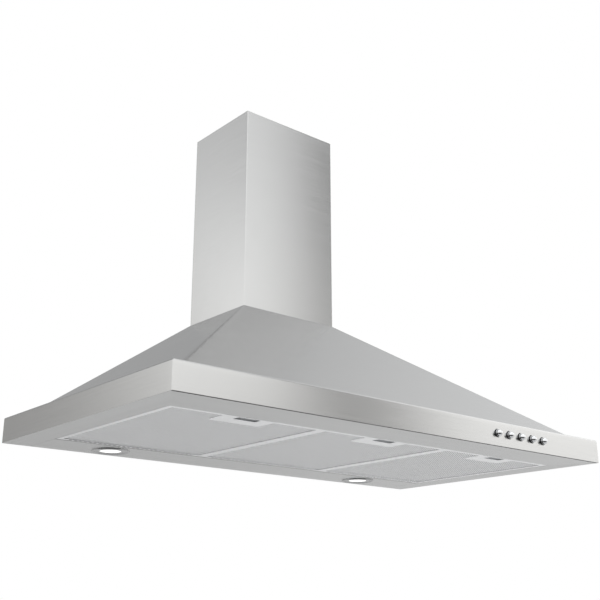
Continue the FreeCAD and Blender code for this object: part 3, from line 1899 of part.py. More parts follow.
faults = [o.Label for o in doc.Objects if "Invalid" in o.State or "Error" in o.State]
for part in parts:
    shape = part.Shape
    if shape.isNull() or not shape.isValid() or not shape.Solids:
        faults.append(part.Label + " has no valid solid")
if faults:
    raise RuntimeError("faulty objects: " + ", ".join(faults))
if len({part.Label for part in parts}) != len(parts):
    raise RuntimeError("two sub-parts share a label")

os.makedirs("parts", exist_ok=True)
for part in parts:
    part.Shape.exportStep(f"parts/{part.Label}.step")
print(f"{len(parts)} sub-parts written")
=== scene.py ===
import math

import bmesh
import bpy
import numpy as np
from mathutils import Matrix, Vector


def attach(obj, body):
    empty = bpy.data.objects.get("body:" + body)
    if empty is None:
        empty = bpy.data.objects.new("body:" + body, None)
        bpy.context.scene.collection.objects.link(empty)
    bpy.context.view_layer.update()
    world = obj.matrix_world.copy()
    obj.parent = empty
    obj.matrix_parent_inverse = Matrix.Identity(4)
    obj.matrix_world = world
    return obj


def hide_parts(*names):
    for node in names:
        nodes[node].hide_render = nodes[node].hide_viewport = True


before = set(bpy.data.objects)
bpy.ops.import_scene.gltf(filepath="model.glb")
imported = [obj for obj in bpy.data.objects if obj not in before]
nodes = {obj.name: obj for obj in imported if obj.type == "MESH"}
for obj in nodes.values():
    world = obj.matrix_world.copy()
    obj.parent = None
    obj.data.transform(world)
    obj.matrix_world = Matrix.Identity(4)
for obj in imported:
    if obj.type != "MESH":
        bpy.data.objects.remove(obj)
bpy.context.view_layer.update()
print("frame loaded:", len(nodes), "nodes")

sideNames = ("left", "right")
buttonNames = ("stop", "low", "medium", "high", "light")
filterPlaces = {"1": -0.2686667, "2": 0.0, "3": 0.2686667}  # middle of each filter across the hood
crispAngle = 50  # edges that turn by more degrees than this stay crisp or get a bevel
axisRadius = 1e-6  # stands for zero where a turned profile meets its axis
longestBend = 0.45  # share of the way to the next corner that a bend takes at most


# node graph helpers
def addNode(tree, kind, **values):
    node = tree.nodes.new(kind)
    for key, value in values.items():
        setattr(node, key, value)
    return node


def join(tree, source, target):
    tree.links.new(source, target)


def feed(tree, value, socket):
    # a number or a tuple is set on the socket, and an output is linked to it
    if isinstance(value, (int, float, tuple)):
        socket.default_value = value
    else:
        join(tree, value, socket)


def fill(tree, node, **values):
    # each value goes to the input of its name
    for label, value in values.items():
        feed(tree, value, node.inputs[label])
    return node


def newGroup(name, defaults, outputs):
    # one vector input, a number input for each default, and a number output for each name
    group = bpy.data.node_groups.new(name, "ShaderNodeTree")
    group.interface.new_socket("Vector", in_out="INPUT", socket_type="NodeSocketVector")
    for label, value in defaults.items():
        socket = group.interface.new_socket(label, in_out="INPUT", socket_type="NodeSocketFloat")
        socket.default_value = value
    for label in outputs:
        group.interface.new_socket(label, in_out="OUTPUT", socket_type="NodeSocketFloat")
    return group, addNode(group, "NodeGroupInput"), addNode(group, "NodeGroupOutput")


def useGroup(tree, group, **values):
    return fill(tree, addNode(tree, "ShaderNodeGroup", node_tree=group), **values)


def mathNode(tree, operation, first, second=None):
    node = addNode(tree, "ShaderNodeMath", operation=operation)
    feed(tree, first, node.inputs[0])
    if second is not None:
        feed(tree, second, node.inputs[1])
    return node.outputs[0]


def plus(tree, first, second):
    return mathNode(tree, "ADD", first, second)


def minus(tree, first, second):
    return mathNode(tree, "SUBTRACT", first, second)


def times(tree, first, second):
    return mathNode(tree, "MULTIPLY", first, second)


def between(tree, low, high, share):
    # low plus share times the way from low to high
    return plus(tree, low, times(tree, share, minus(tree, high, low)))


def mixNode(tree, kind, share, first, second):
    # the mix node has its own sockets for each kind of value: places of the two inputs and the result
    a, b, result = {"FLOAT": (2, 3, 0), "VECTOR": (4, 5, 1), "RGBA": (6, 7, 2)}[kind]
    node = addNode(tree, "ShaderNodeMix", data_type=kind)
    join(tree, share, node.inputs[0])
    feed(tree, first, node.inputs[a])
    feed(tree, second, node.inputs[b])
    return node.outputs[result]


def noiseNode(tree, vector, settings):
    scale, detail, roughness = settings
    node = addNode(tree, "ShaderNodeTexNoise")
    fill(tree, node, Vector=vector, Scale=scale, Detail=detail, Roughness=roughness)
    return node.outputs["Fac"]


def spread(tree, value, low, high, newLow=0.0, newHigh=1.0, curve="LINEAR"):
    # from low..high to newLow..newHigh, clamped
    node = addNode(tree, "ShaderNodeMapRange", interpolation_type=curve)
    for label, number in (("From Min", low), ("From Max", high), ("To Min", newLow), ("To Max", newHigh)):
        node.inputs[label].default_value = number
    join(tree, value, node.inputs["Value"])
    return node.outputs["Result"]


def splitVector(tree, vector):
    node = addNode(tree, "ShaderNodeSeparateXYZ")
    join(tree, vector, node.inputs[0])
    return node.outputs[0], node.outputs[1], node.outputs[2]


# shared effects; each noise is (scale, detail, roughness)
brushNoise = {
    "broad": (0.13, 1.0, 0.5),
    "coarse": (1.1, 2.0, 0.5),
    "fine": (4.7, 2.0, 0.55),
    "coarseShare": 0.45,
    "fineShare": 0.45,
    "middle": 0.05,
    "range": (0.25, 0.75),
}


def makeBrushGroup(c):
    # long thin scratches: broad, coarse and fine noise, all already stretched by the caller's mapping
    group, start, end = newGroup(
        "brushedGrain", {"Low": 0.26, "High": 0.42, "Broad": 0.1}, ("Height", "Roughness", "Shade")
    )
    vector = start.outputs["Vector"]
    coarse = times(group, noiseNode(group, vector, c["coarse"]), c["coarseShare"])
    fine = times(group, noiseNode(group, vector, c["fine"]), c["fineShare"])
    # the broad streaks only move the sum up and down, so their strength doesn't change its middle
    sway = times(group, minus(group, noiseNode(group, vector, c["broad"]), 0.5), start.outputs["Broad"])
    mixed = plus(group, plus(group, plus(group, coarse, fine), c["middle"]), sway)
    share = spread(group, mixed, *c["range"])
    rough = between(group, start.outputs["Low"], start.outputs["High"], share)
    fill(group, end, Height=mixed, Roughness=rough, Shade=share)
    return group


smudgeNoise = {
    "cloud": (5.0, 4.0, 0.6),
    "cloudRange": (0.42, 0.7),
    "drop": (38.0, 3.0, 0.7),
    "dropRange": (0.35, 0.7),
}


def makeSmudgeGroup(c):
    # broad soft patches that dull a polished sheet a little
    group, start, end = newGroup("handledSheen", {"Amount": 0.05, "Base": 0.3}, ("Roughness", "Share"))
    vector = start.outputs["Vector"]
    cloud = spread(group, noiseNode(group, vector, c["cloud"]), *c["cloudRange"])
    drop = spread(group, noiseNode(group, vector, c["drop"]), *c["dropRange"])
    share = times(group, cloud, drop)
    rough = plus(group, start.outputs["Base"], times(group, share, start.outputs["Amount"]))
    fill(group, end, Roughness=rough, Share=share)
    return group


mouldNoise = {"pebble": (1600.0, 2.0, 0.5), "cloud": (14.0, 3.0, 0.55)}


def makeMouldGroup(c):
    # fine pebble of a moulded or cast surface
    group, start, end = newGroup("mouldedGrain", {"Low": 0.42, "High": 0.6}, ("Height", "Roughness", "Shade"))
    pebble, cloud = (noiseNode(group, start.outputs["Vector"], c[name]) for name in ("pebble", "cloud"))
    rough = between(group, start.outputs["Low"], start.outputs["High"], cloud)
    fill(group, end, Height=pebble, Roughness=rough, Shade=cloud)
    return group


spangleNoise = {"cells": 130.0, "warpScale": 60.0, "warpReach": 0.004, "rough": (0.35, 0.55)}


def makeSpangleGroup(c):
    # zinc crystals: flat cells with uneven edges, each a slightly different grey
    group, start, end = newGroup("zincSpangle", {"Cells": c["cells"]}, ("Shade", "Roughness", "Height"))
    vector = start.outputs["Vector"]
    warp = fill(group, addNode(group, "ShaderNodeTexNoise"), Vector=vector, Scale=c["warpScale"])
    offset = addNode(group, "ShaderNodeVectorMath", operation="MULTIPLY_ADD")
    for index, value in enumerate((warp.outputs["Color"], (c["warpReach"],) * 3, vector)):
        feed(group, value, offset.inputs[index])
    cells = addNode(group, "ShaderNodeTexVoronoi")
    fill(group, cells, Vector=offset.outputs[0], Scale=start.outputs["Cells"])
    split = addNode(group, "ShaderNodeSeparateColor")
    join(group, cells.outputs["Color"], split.inputs[0])
    rough = spread(group, split.outputs[1], 0.0, 1.0, *c["rough"])
    fill(group, end, Shade=split.outputs[0], Roughness=rough, Height=cells.outputs["Distance"])
    return group


brushGroup = makeBrushGroup(brushNoise)
smudgeGroup = makeSmudgeGroup(smudgeNoise)
mouldGroup = makeMouldGroup(mouldNoise)
spangleGroup = makeSpangleGroup(spangleNoise)


# materials
def startMaterial(name, metallic):
    material = bpy.data.materials.new(name)
    material.use_nodes = True
    tree = material.node_tree
    tree.nodes.clear()
    shader = addNode(tree, "ShaderNodeBsdfPrincipled")
    output = addNode(tree, "ShaderNodeOutputMaterial")
    join(tree, shader.outputs[0], output.inputs["Surface"])
    return material, tree, fill(tree, shader, Metallic=metallic)


def objectPoint(tree):
    return addNode(tree, "ShaderNodeTexCoord").outputs["Object"]


def stretched(tree, vector, scale):
    return fill(tree, addNode(tree, "ShaderNodeMapping"), Vector=vector, Scale=scale).outputs["Vector"]


def twoTone(tree, share, dark, light, target):
    # colour between two close tones, chosen by share
    join(tree, mixNode(tree, "RGBA", share, (*dark, 1.0), (*light, 1.0)), target)


def bumpFrom(tree, shader, height, strength, distance):
    node = fill(tree, addNode(tree, "ShaderNodeBump"), Strength=strength, Distance=distance, Height=height)
    join(tree, node.outputs["Normal"], shader.inputs["Normal"])


# along and across are the grain's scale with and against the brushing
# stretch and turn are the shader's anisotropic share and rotation
steelLook = {
    "dark": (0.545, 0.545, 0.54),
    "light": (0.60, 0.60, 0.595),
    "rough": (0.17, 0.22),
    "along": 9.0,
    "across": 520.0,
    "broad": 0.03,
    "bump": 0.012,
    "grainHeight": 0.00005,
    "smudge": 0.03,
    "stretch": 0.8,
    "turn": 0.25,
}
underLook = dict(steelLook, dark=(0.49, 0.49, 0.485), light=(0.615, 0.615, 0.61), broad=0.5)
# corner of the opening, and how wide and deep the strips beside and before it are
mitre = {"x": 0.404, "y": -0.4135, "width": 0.046, "depth": 0.0765}


def levelLine(tree):
    # the surface's normal crossed with straight up: a level line along any upright or sloping sheet
    node = addNode(tree, "ShaderNodeVectorMath", operation="CROSS_PRODUCT")
    join(tree, addNode(tree, "ShaderNodeNewGeometry").outputs["Normal"], node.inputs[0])
    node.inputs[1].default_value = (0.0, 0.0, 1.0)
    return node.outputs[0]


def crossLine(tree):
    # straight across the hood
    node = addNode(tree, "ShaderNodeCombineXYZ")
    node.inputs[0].default_value = 1.0
    return node.outputs[0]


def makeSteel(name, look, scales, brushing=levelLine, corner=None):
    # scales stretch the grain on X, Y and Z; with a corner the side strips' grain is turned a quarter
    material, tree, shader = startMaterial(name, 1.0)
    shader.inputs["Anisotropic"].default_value = look["stretch"]
    shader.inputs["Anisotropic Rotation"].default_value = look["turn"]
    point = objectPoint(tree)
    grainPoint = stretched(tree, point, scales)
    if corner:
        x, y, z = splitVector(tree, point)
        # a side strip is where the way out from the corner, over the strip's width,
        # is more than the way ahead of it, over the front strip's depth
        out = minus(tree, mathNode(tree, "ABSOLUTE", x), corner["x"])
        out = mathNode(tree, "DIVIDE", out, corner["width"])
        ahead = mathNode(tree, "DIVIDE", minus(tree, corner["y"], y), corner["depth"])
        onSide = mathNode(tree, "GREATER_THAN", out, ahead)
        turned = stretched(tree, point, (scales[1], scales[0], scales[2]))
        grainPoint = mixNode(tree, "VECTOR", onSide, grainPoint, turned)
        brushLine = mixNode(tree, "VECTOR", onSide, (1.0, 0.0, 0.0), (0.0, 1.0, 0.0))
    else:
        brushLine = brushing(tree)
    join(tree, brushLine, shader.inputs["Tangent"])
    low, high = look["rough"]
    grain = useGroup(tree, brushGroup, Vector=grainPoint, Low=low, High=high, Broad=look["broad"])
    smudge = useGroup(tree, smudgeGroup, Vector=point, Amount=look["smudge"], Base=grain.outputs["Roughness"])
    join(tree, smudge.outputs["Roughness"], shader.inputs["Roughness"])
    twoTone(tree, grain.outputs["Shade"], look["dark"], look["light"], shader.inputs["Base Color"])
    bumpFrom(tree, shader, grain.outputs["Height"], look["bump"], look["grainHeight"])
    return material


along, across = steelLook["along"], steelLook["across"]
steelWall = makeSteel("steelWall", steelLook, (along, along, across))
steelUnder = makeSteel("steelUnder", underLook, (along, across, along), corner=mitre)
steelPanel = makeSteel("steelPanel", underLook, (along, across, along), crossLine)

chromeLook = {"clear": (0.78, 0.79, 0.80), "dull": (0.70, 0.71, 0.72), "rough": 0.05, "smudge": 0.10}


def makeChrome(name, look):
    material, tree, shader = startMaterial(name, 1.0)
    smudge = useGroup(tree, smudgeGroup, Vector=objectPoint(tree), Amount=look["smudge"], Base=look["rough"])
    join(tree, smudge.outputs["Roughness"], shader.inputs["Roughness"])
    twoTone(tree, smudge.outputs["Share"], look["clear"], look["dull"], shader.inputs["Base Color"])
    return material


chrome = makeChrome("chrome", chromeLook)

zincLook = {"dark": (0.42, 0.44, 0.46), "light": (0.60, 0.62, 0.64), "bump": 0.05, "grainHeight": 0.0001}


def makeSpangled(name, look):
    material, tree, shader = startMaterial(name, 1.0)
    cells = useGroup(tree, spangleGroup, Vector=objectPoint(tree))
    join(tree, cells.outputs["Roughness"], shader.inputs["Roughness"])
    twoTone(tree, cells.outputs["Shade"], look["dark"], look["light"], shader.inputs["Base Color"])
    bumpFrom(tree, shader, cells.outputs["Height"], look["bump"], look["grainHeight"])
    return material


galvanised = makeSpangled("galvanised", zincLook)

# finishes with the fine pebble; each look changes what it names in the plain one
plainLook = {"rough": (0.42, 0.6), "metallic": 0.0, "bump": 0.12, "grainHeight": 0.00008}
aluminium = {"dark": (0.93, 0.932, 0.935), "light": (0.97, 0.972, 0.975), "metallic": 1.0}
pebbledLooks = {
    "blackPlastic": {"dark": (0.018, 0.018, 0.02), "light": (0.035, 0.035, 0.038)},
    "greyPlastic": {"dark": (0.20, 0.21, 0.22), "light": (0.29, 0.30, 0.31)},
    "whitePlastic": {"dark": (0.62, 0.62, 0.60), "light": (0.74, 0.74, 0.72)},
    "latchPlastic": {
        "dark": (0.50, 0.51, 0.52), "light": (0.62, 0.63, 0.64), "rough": (0.34, 0.5), "metallic": 0.4,
    },
    "rubberBlack": {"dark": (0.012, 0.012, 0.012), "light": (0.025, 0.025, 0.025), "rough": (0.65, 0.85)},
    "castCase": {
        "dark": (0.42, 0.43, 0.44), "light": (0.55, 0.56, 0.57), "rough": (0.4, 0.6), "metallic": 1.0,
    },
    "zincScrew": {
        "dark": (0.50, 0.50, 0.47), "light": (0.66, 0.66, 0.62), "rough": (0.28, 0.42), "metallic": 1.0,
    },
    "filterSheet": dict(aluminium, rough=(0.12, 0.2), bump=0.05),
    "expandedSheet": dict(aluminium, rough=(0.24, 0.36)),
    # the inner mesh layers: the same aluminium made darker, painted shade for the little light that reaches
    # them through the holes
    "expandedShade": {
        "dark": (0.34, 0.342, 0.345), "light": (0.44, 0.442, 0.445), "rough": (0.34, 0.5), "metallic": 1.0,
    },
    "bezelSatin": {
        "dark": (0.42, 0.42, 0.42), "light": (0.50, 0.50, 0.50), "rough": (0.22, 0.32), "metallic": 1.0,
        "bump": 0.05,
    },
}


def makePebbled(name, look, toned="Base Color"):
    # toned is the socket that takes the two tones
    material, tree, shader = startMaterial(name, look["metallic"])
    low, high = look["rough"]
    grain = useGroup(tree, mouldGroup, Vector=objectPoint(tree), Low=low, High=high)
    join(tree, grain.outputs["Roughness"], shader.inputs["Roughness"])
    twoTone(tree, grain.outputs["Shade"], look["dark"], look["light"], shader.inputs[toned])
    bumpFrom(tree, shader, grain.outputs["Height"], look["bump"], look["grainHeight"])
    return material


pebbled = {name: makePebbled(name, {**plainLook, **look}) for name, look in pebbledLooks.items()}

# behind and above bound the gutter on Y and Z; over fade, on X, the painted shade weakens from one share to
# the other
gutterShadeLook = {
    "tone": (0.06, 0.06, 0.06),
    "behind": -0.0976,
    "above": 0.0001,
    "fade": (-0.1345, -0.1335),
    "share": (0.96, 0.45),
}


def paintGutterShade(material, look):
    # painted shade darkens the cut edges of the drain slots and the gutter behind them, most on the left
    # filter
    tree = material.node_tree
    shader = tree.nodes["Principled BSDF"]
    unshaded = shader.inputs["Base Color"].links[0].from_socket
    x, y, z = splitVector(tree, objectPoint(tree))
    behind = mathNode(tree, "GREATER_THAN", y, look["behind"])
    above = mathNode(tree, "GREATER_THAN", z, look["above"])
    share = times(tree, times(tree, behind, above), spread(tree, x, *look["fade"], *look["share"]))
    # the painted shade's dark tone is mixed over the unshaded colour
    join(tree, mixNode(tree, "RGBA", share, unshaded, (*look["tone"], 1.0)), shader.inputs["Base Color"])


# painted shade inside the filter frames' gutters
paintGutterShade(pebbled["filterSheet"], gutterShadeLook)

# dark and light are the tones of the glow
lensLook = {
    "colour": (0.95, 0.95, 0.93),
    "dark": (0.93, 0.93, 0.92),
    "light": (1.0, 1.0, 0.99),
    "glow": 1.0,
    "rough": (0.3, 0.45),
    "bump": 0.1,
}


def makeLens(name, look):
    material = makePebbled(name, {**plainLook, **look}, "Emission Color")
    shader = material.node_tree.nodes["Principled BSDF"]
    shader.inputs["Base Color"].default_value = (*look["colour"], 1.0)
    shader.inputs["Emission Strength"].default_value = look["glow"]
    return material


lensGlow = makeLens("lensGlow", lensLook)
print("materials made")

# every CAD node's finish
finishedNodes = [
    (steelWall, ("canopy", "chimney_lower", "chimney_upper")),
    (steelUnder, ("underside_frame",)),
    (steelPanel, ("light_panel",)),
    (galvanised, ("back_panel", "blower_plate", "switch_bracket", "motor_bracket", "chimney_bracket")),
    (pebbled["whitePlastic"], ("lamp_driver", "capacitor", "terminal_block")),
    (pebbled["blackPlastic"], ("switch_body", "scroll_left", "scroll_right", "duct_collar")),
    (pebbled["blackPlastic"], ("control_box", "control_box_lid")),
    (pebbled["rubberBlack"], ("outlet_gasket", "rubber_mounts", "cable_gland")),
    (pebbled["castCase"], ("motor", "lamp_body_left", "lamp_body_right")),
    (pebbled["greyPlastic"], ("impeller", "damper_flap_left", "damper_flap_right")),
    (pebbled["zincScrew"], ("motor_shaft", "damper_pin", "blower_screws", "motor_screws", "collar_screws")),
    (pebbled["zincScrew"], ("chimney_lower_screws", "chimney_upper_screws", "panel_screws")),
    (chrome, ["button_" + name for name in buttonNames]),
    (pebbled["bezelSatin"], ["lamp_bezel_" + name for name in sideNames]),
    (lensGlow, ["lamp_lens_" + name for name in sideNames]),
    (pebbled["filterSheet"], ["filter_frame_" + number for number in filterPlaces]),
    (pebbled["filterSheet"], ["latch_plate_" + number for number in filterPlaces]),
    (pebbled["expandedSheet"], ["filter_mesh_" + number for number in filterPlaces]),
    (pebbled["latchPlastic"], ["latch_slider_" + number for number in filterPlaces]),
    (pebbled["zincScrew"], ["latch_spring_" + number for number in filterPlaces]),
]
nodeFinish = {name: finish for finish, names in finishedNodes for name in names}

for name, node in nodes.items():
    if not node.material_slots:
        node.data.materials.append(nodeFinish[name])
    for slot in node.material_slots:
        slot.link = "OBJECT"
        slot.material = nodeFinish[name]
print("CAD nodes finished:", len(nodeFinish))


# mesh helpers; a shape is its points and a list of arrays of faces, each with one number of corners
def buildMesh(name, shape, finish, body, replaced=(), smooth=True):
    points, blocks = shape
    mesh = bpy.data.meshes.new(name)
    mesh.from_pydata(points.tolist(), [], sum((block.tolist() for block in blocks), []))
    mesh.validate()
    mesh.polygons.foreach_set("use_smooth", np.full(len(mesh.polygons), smooth, dtype=bool))
    mesh.materials.append(finish)
    mesh.update()
    piece = bpy.data.objects.new(name, mesh)
    bpy.context.scene.collection.objects.link(piece)
    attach(piece, body)
    if replaced:
        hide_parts(*replaced)
    return piece


def joined(*shapes):
    # several shapes as one: each later shape's faces count on from the points before it
    points = [shape[0] for shape in shapes]
    starts = np.cumsum([0] + [len(part) for part in points])
    return np.vstack(points), [block + start for start, shape in zip(starts, shapes) for block in shape[1]]


def gridFaces(rows, columns, wrapRows=False, wrapColumns=False):
    # quads of a grid of points stored row by row
    rowIndex = np.arange(rows if wrapRows else rows - 1)
    columnIndex = np.arange(columns if wrapColumns else columns - 1)
    r, c = np.meshgrid(rowIndex, columnIndex, indexing="ij")
    nextRow, nextColumn = (r + 1) % rows, (c + 1) % columns
    here, ahead = r * columns, nextRow * columns
    return np.stack([here + c, here + nextColumn, ahead + nextColumn, ahead + c], -1).reshape(-1, 4)


def roundedPath(corners, bends, steps=4):
    # each corner becomes a short curve: start times (1-t) squared, corner times 2t(1-t), end times t squared
    # the curve starts and ends one bend away from the corner, or nearer where the next corner is close
    # a corner with no bend stays one point, and lengths are measured on the first three columns
    corners, bends = np.asarray(corners, float), np.asarray(bends, float)
    before, after = np.roll(corners, 1, 0) - corners, np.roll(corners, -1, 0) - corners
    lengthBefore, lengthAfter = (np.linalg.norm(side[:, :3], axis=1) for side in (before, after))
    first = corners + before * np.minimum(bends / lengthBefore, longestBend)[:, None]
    last = corners + after * np.minimum(bends / lengthAfter, longestBend)[:, None]
    t = np.linspace(0.0, 1.0, steps + 1)[:, None]
    curves = first[:, None] * (1 - t) ** 2 + corners[:, None] * 2 * t * (1 - t) + last[:, None] * t ** 2
    return curves[(bends[:, None] > 0) | (np.arange(steps + 1) == 0)]


def outwardMesh(piece):
    # let every face look out of the closed piece
    work = bmesh.new()
    work.from_mesh(piece.data)
    bmesh.ops.recalc_face_normals(work, faces=work.faces)
    work.to_mesh(piece.data)
    work.free()
    return piece


def weighted(piece):
    # folds stay smooth and sharper edges stay crisp
    piece.data.set_sharp_from_angle(angle=math.radians(crispAngle))
    modifier = piece.modifiers.new("evenNormals", "WEIGHTED_NORMAL")
    modifier.keep_sharp = True
    return piece


def softened(piece, width):
    modifier = piece.modifiers.new("softEdge", "BEVEL")
    modifier.width = width
    modifier.segments = 2
    modifier.limit_method = "ANGLE"
    modifier.angle_limit = math.radians(crispAngle)
    return piece


# canopy shell: band and pyramid folded from one sheet, with rounded folds
# the offsets are the sloping sheet's thickness seen level
# side shares run from the wall to the front, and front shares across it, with 0 in its middle
canopy = {
    "halfWidth": 0.450,
    "depth": 0.490,
    "bandHeight": 0.040,
    "ledge": 0.022,
    "top": 0.260,
    "topHalf": 0.105,
    "topDepth": 0.168,
    "sheet": 0.001,
    "sideOffset": 0.00178,
    "frontOffset": 0.00169,
    "foldBend": 0.0020,
    "seatBend": 0.0015,
    "edgeBend": 0.0004,
    "innerBend": 0.00005,
    "cornerBend": 0.0016,
    "innerCornerBend": 0.0008,
    "hipBend": 0.0060,
    "innerHipBend": 0.0048,
    "buttonFirst": 0.1685,
    "buttonPitch": 0.0297,
    "buttonLevel": 0.0205,
    "holeRadius": 0.0070,
    "holeTurns": 40,
    "patchHalf": 0.0115,
    "sideShares": (0.0, 0.2, 0.4, 0.6, 0.8, 0.97),
    "cornerSteps": 5,
    "foldSteps": 3,
    "frontShares": (-0.985, -0.9, -0.75, -0.6, -0.45, -0.3, -0.15, 0.0, 0.15, 0.28, 0.75, 0.85, 0.93, 0.985),
}


def makeSection(c):
    # corners of the sheet's section: half width, depth, height, bend of the corner in plan, bend of the fold
    t, w, d, h = c["sheet"], c["halfWidth"], c["depth"], c["bandHeight"]
    base, baseDepth = w - c["ledge"], d - c["ledge"]
    low, high = c["buttonLevel"] - c["patchHalf"], c["buttonLevel"] + c["patchHalf"]
    side, front = c["sideOffset"], c["frontOffset"]
    plan, inner = c["cornerBend"], c["innerCornerBend"]
    return np.array([
        (w, d, 0.0, plan, c["edgeBend"]),
        (w, d, low, plan, 0.0),
        (w, d, high, plan, 0.0),
        (w, d, h, plan, c["foldBend"]),
        (base, baseDepth, h, c["hipBend"], c["seatBend"]),
        (c["topHalf"], c["topDepth"], c["top"], plan, c["edgeBend"]),
        (c["topHalf"] - side, c["topDepth"] - front, c["top"], inner, c["edgeBend"]),
        (base - side, baseDepth - front, h, c["innerHipBend"], c["innerBend"]),
        (base - side, baseDepth - front, h - t, c["innerHipBend"], c["innerBend"]),
        (w - t, d - t, h - t, inner, c["innerBend"]),
        (w - t, d - t, high, inner, 0.0),
        (w - t, d - t, low, inner, 0.0),
        (w - t, d - t, 0.0, inner, c["edgeBend"]),
    ])


def makeCanopy(c):
    corners = makeSection(c)
    section = roundedPath(corners[:, :4], corners[:, 4], c["foldSteps"])
    # corners where the outer and the inner wall's patch for the buttons begins, and their rows
    patchCorners = [1, 10]
    counts = np.where(corners[:, 4] > 0, c["foldSteps"] + 1, 1)
    wallRows = (np.cumsum(counts) - counts)[patchCorners]
    # each button has its own column of the front between two edges
    middles = c["buttonFirst"] + c["buttonPitch"] * np.arange(len(buttonNames))
    patchLeft = (middles - c["patchHalf"]) / c["halfWidth"]
    patchRight = (middles + c["patchHalf"]) / c["halfWidth"]
    front = np.sort(np.concatenate([c["frontShares"], patchLeft, patchRight]))
    # columns go down the left side, round its corner, along the front, round the right corner and back
    # x is across times half width plus its share of the corner's bend
    # y is its share of the bend less along times depth
    side = np.array(c["sideShares"])
    turn = np.linspace(0.0, 1.0, c["cornerSteps"] + 1)
    back = turn[::-1]
    none, full = np.zeros(len(side)), np.ones(len(side))
    across = np.concatenate([-full, -np.ones(len(turn)), front, np.ones(len(turn)), full])
    along = np.concatenate([side, np.ones(len(turn)), np.ones(len(front)), np.ones(len(turn)), side[::-1]])
    acrossBend = np.concatenate([none, turn ** 2, 0 * front, -back ** 2, none])
    alongBend = np.concatenate([none, (1 - turn) ** 2, 0 * front, (1 - back) ** 2, none])
    half, deep, level, bend = section.T[:, :, None]
    x, y, z = np.broadcast_arrays(across * half + acrossBend * bend, alongBend * bend - along * deep, level)
    rows, columns = x.shape
    points = np.stack([x, y, z], -1).reshape(-1, 3)
    quads = gridFaces(rows, columns, wrapRows=True)
    # cells behind the buttons, one row of them for each wall, are taken out
    firstFront = len(side) + len(turn)
    cells = wallRows * (columns - 1) + (firstFront + np.searchsorted(front, patchLeft))[:, None]
    keep = np.ones(len(quads), bool)
    keep[cells] = False
    # a cell's corners by quadrant: right up, left up, left down, right down; the inner wall runs downwards
    outerOrder, innerOrder = [2, 3, 0, 1], [1, 0, 3, 2]
    order = np.stack([quads[cells[:, 0]][:, outerOrder], quads[cells[:, 1]][:, innerOrder]], 1)
    # rims: middle plus radius times cosine across, level plus radius times sine up
    angle = 2 * math.pi * np.arange(c["holeTurns"]) / c["holeTurns"]
    wallPlace = points[quads[cells[0], 0], 1]
    x, y, z = np.broadcast_arrays(
        middles[:, None, None] + c["holeRadius"] * np.cos(angle),
        wallPlace[:, None],
        c["buttonLevel"] + c["holeRadius"] * np.sin(angle),
    )
    rim = len(points) + np.arange(x.size).reshape(x.shape)
    points = np.vstack([points, np.stack([x, y, z], -1).reshape(-1, 3)])
    nextRim = np.roll(rim, -1, -1)
    quarter = c["holeTurns"] // 4
    # fans from each corner to its quarter of the rim, links between the fans, and a sleeve from wall to wall
    fans = np.stack([np.repeat(order, quarter, -1), rim, nextRim], -1).reshape(-1, 3)
    links = np.stack([order, np.roll(order, -1, -1), nextRim[..., quarter - 1::quarter]], -1).reshape(-1, 3)
    sleeves = np.stack([rim[:, 0], nextRim[:, 0], nextRim[:, 1], rim[:, 1]], -1).reshape(-1, 4)
    # the two ends at the wall
    ends = np.stack([np.arange(rows)[::-1] * columns, np.arange(rows) * columns + columns - 1])
    return points, [quads[keep], fans, links, sleeves, ends]


canopyShell = buildMesh("canopyShell", makeCanopy(canopy), steelWall, "hood", ["canopy"])
weighted(outwardMesh(canopyShell))
print("canopy shell:", len(canopyShell.data.polygons), "faces")

# chimney cover: folded sheet with returns at the wall, and two tabs that stand on the blower plate
chimneyCover = {
    "half": 0.105,
    "front": 0.168,
    "low": 0.260,
    "high": 0.645,
    "sheet": 0.001,
    "lip": 0.012,
    "bend": 0.0018,
    "lipBend": 0.0003,
    "endBand": 0.0006,
    "tabWidth": 0.010,
    "tabHalf": 0.026,
    "tabMiddle": -0.084,
    "tabGap": 0.0001,
    "tabBend": 0.002,
}


def extrudedPath(path, levels):
    # a closed path in plan, carried up through the levels, with both ends closed
    count = len(path)
    points = np.column_stack([np.tile(path, (len(levels), 1)), np.repeat(levels, count)])
    ends = np.stack([np.arange(count)[::-1], np.arange(count) + (len(levels) - 1) * count])
    return points, [gridFaces(len(levels), count, wrapColumns=True), ends]


def makeCover(c):
    t, half, front, lip = c["sheet"], c["half"], c["front"], c["lip"]
    # outside from the left lip round to the right lip, then back along the inside
    corners = [
        (-half + lip, 0.0), (-half, 0.0), (-half, -front), (half, -front), (half, 0.0), (half - lip, 0.0),
        (half - lip, -t), (half - t, -t), (half - t, -front + t),
        (-half + t, -front + t), (-half + t, -t), (-half + lip, -t),
    ]
    end, outer, inner = c["lipBend"], c["bend"], c["bend"] - t
    bends = [end, outer, outer, outer, outer, end, end, inner, inner, inner, inner, end]
    low, high, band = c["low"], c["high"], c["endBand"]
    levels = [low, low + band, (low + high) / 2, high - band, high]
    return extrudedPath(roundedPath(corners, bends, steps=5), levels)


def makeTab(c, side):
    # a flat plate with rounded corners, just inside one side wall
    inside = c["half"] - c["sheet"]
    left, right = sorted((side * (inside - c["tabGap"]), side * (inside - c["tabWidth"])))
    front, rear = c["tabMiddle"] - c["tabHalf"], c["tabMiddle"] + c["tabHalf"]
    corners = [(left, front), (right, front), (right, rear), (left, rear)]
    path = roundedPath(corners, [c["tabBend"]] * len(corners), steps=3)
    return extrudedPath(path, [c["low"], c["low"] + c["sheet"]])


coverShape = joined(makeCover(chimneyCover), makeTab(chimneyCover, -1), makeTab(chimneyCover, 1))
coverPiece = buildMesh("chimneyCover", coverShape, steelWall, "hood", ["chimney_lower"])
weighted(outwardMesh(coverPiece))
print("chimney cover:", len(coverPiece.data.polygons), "faces")


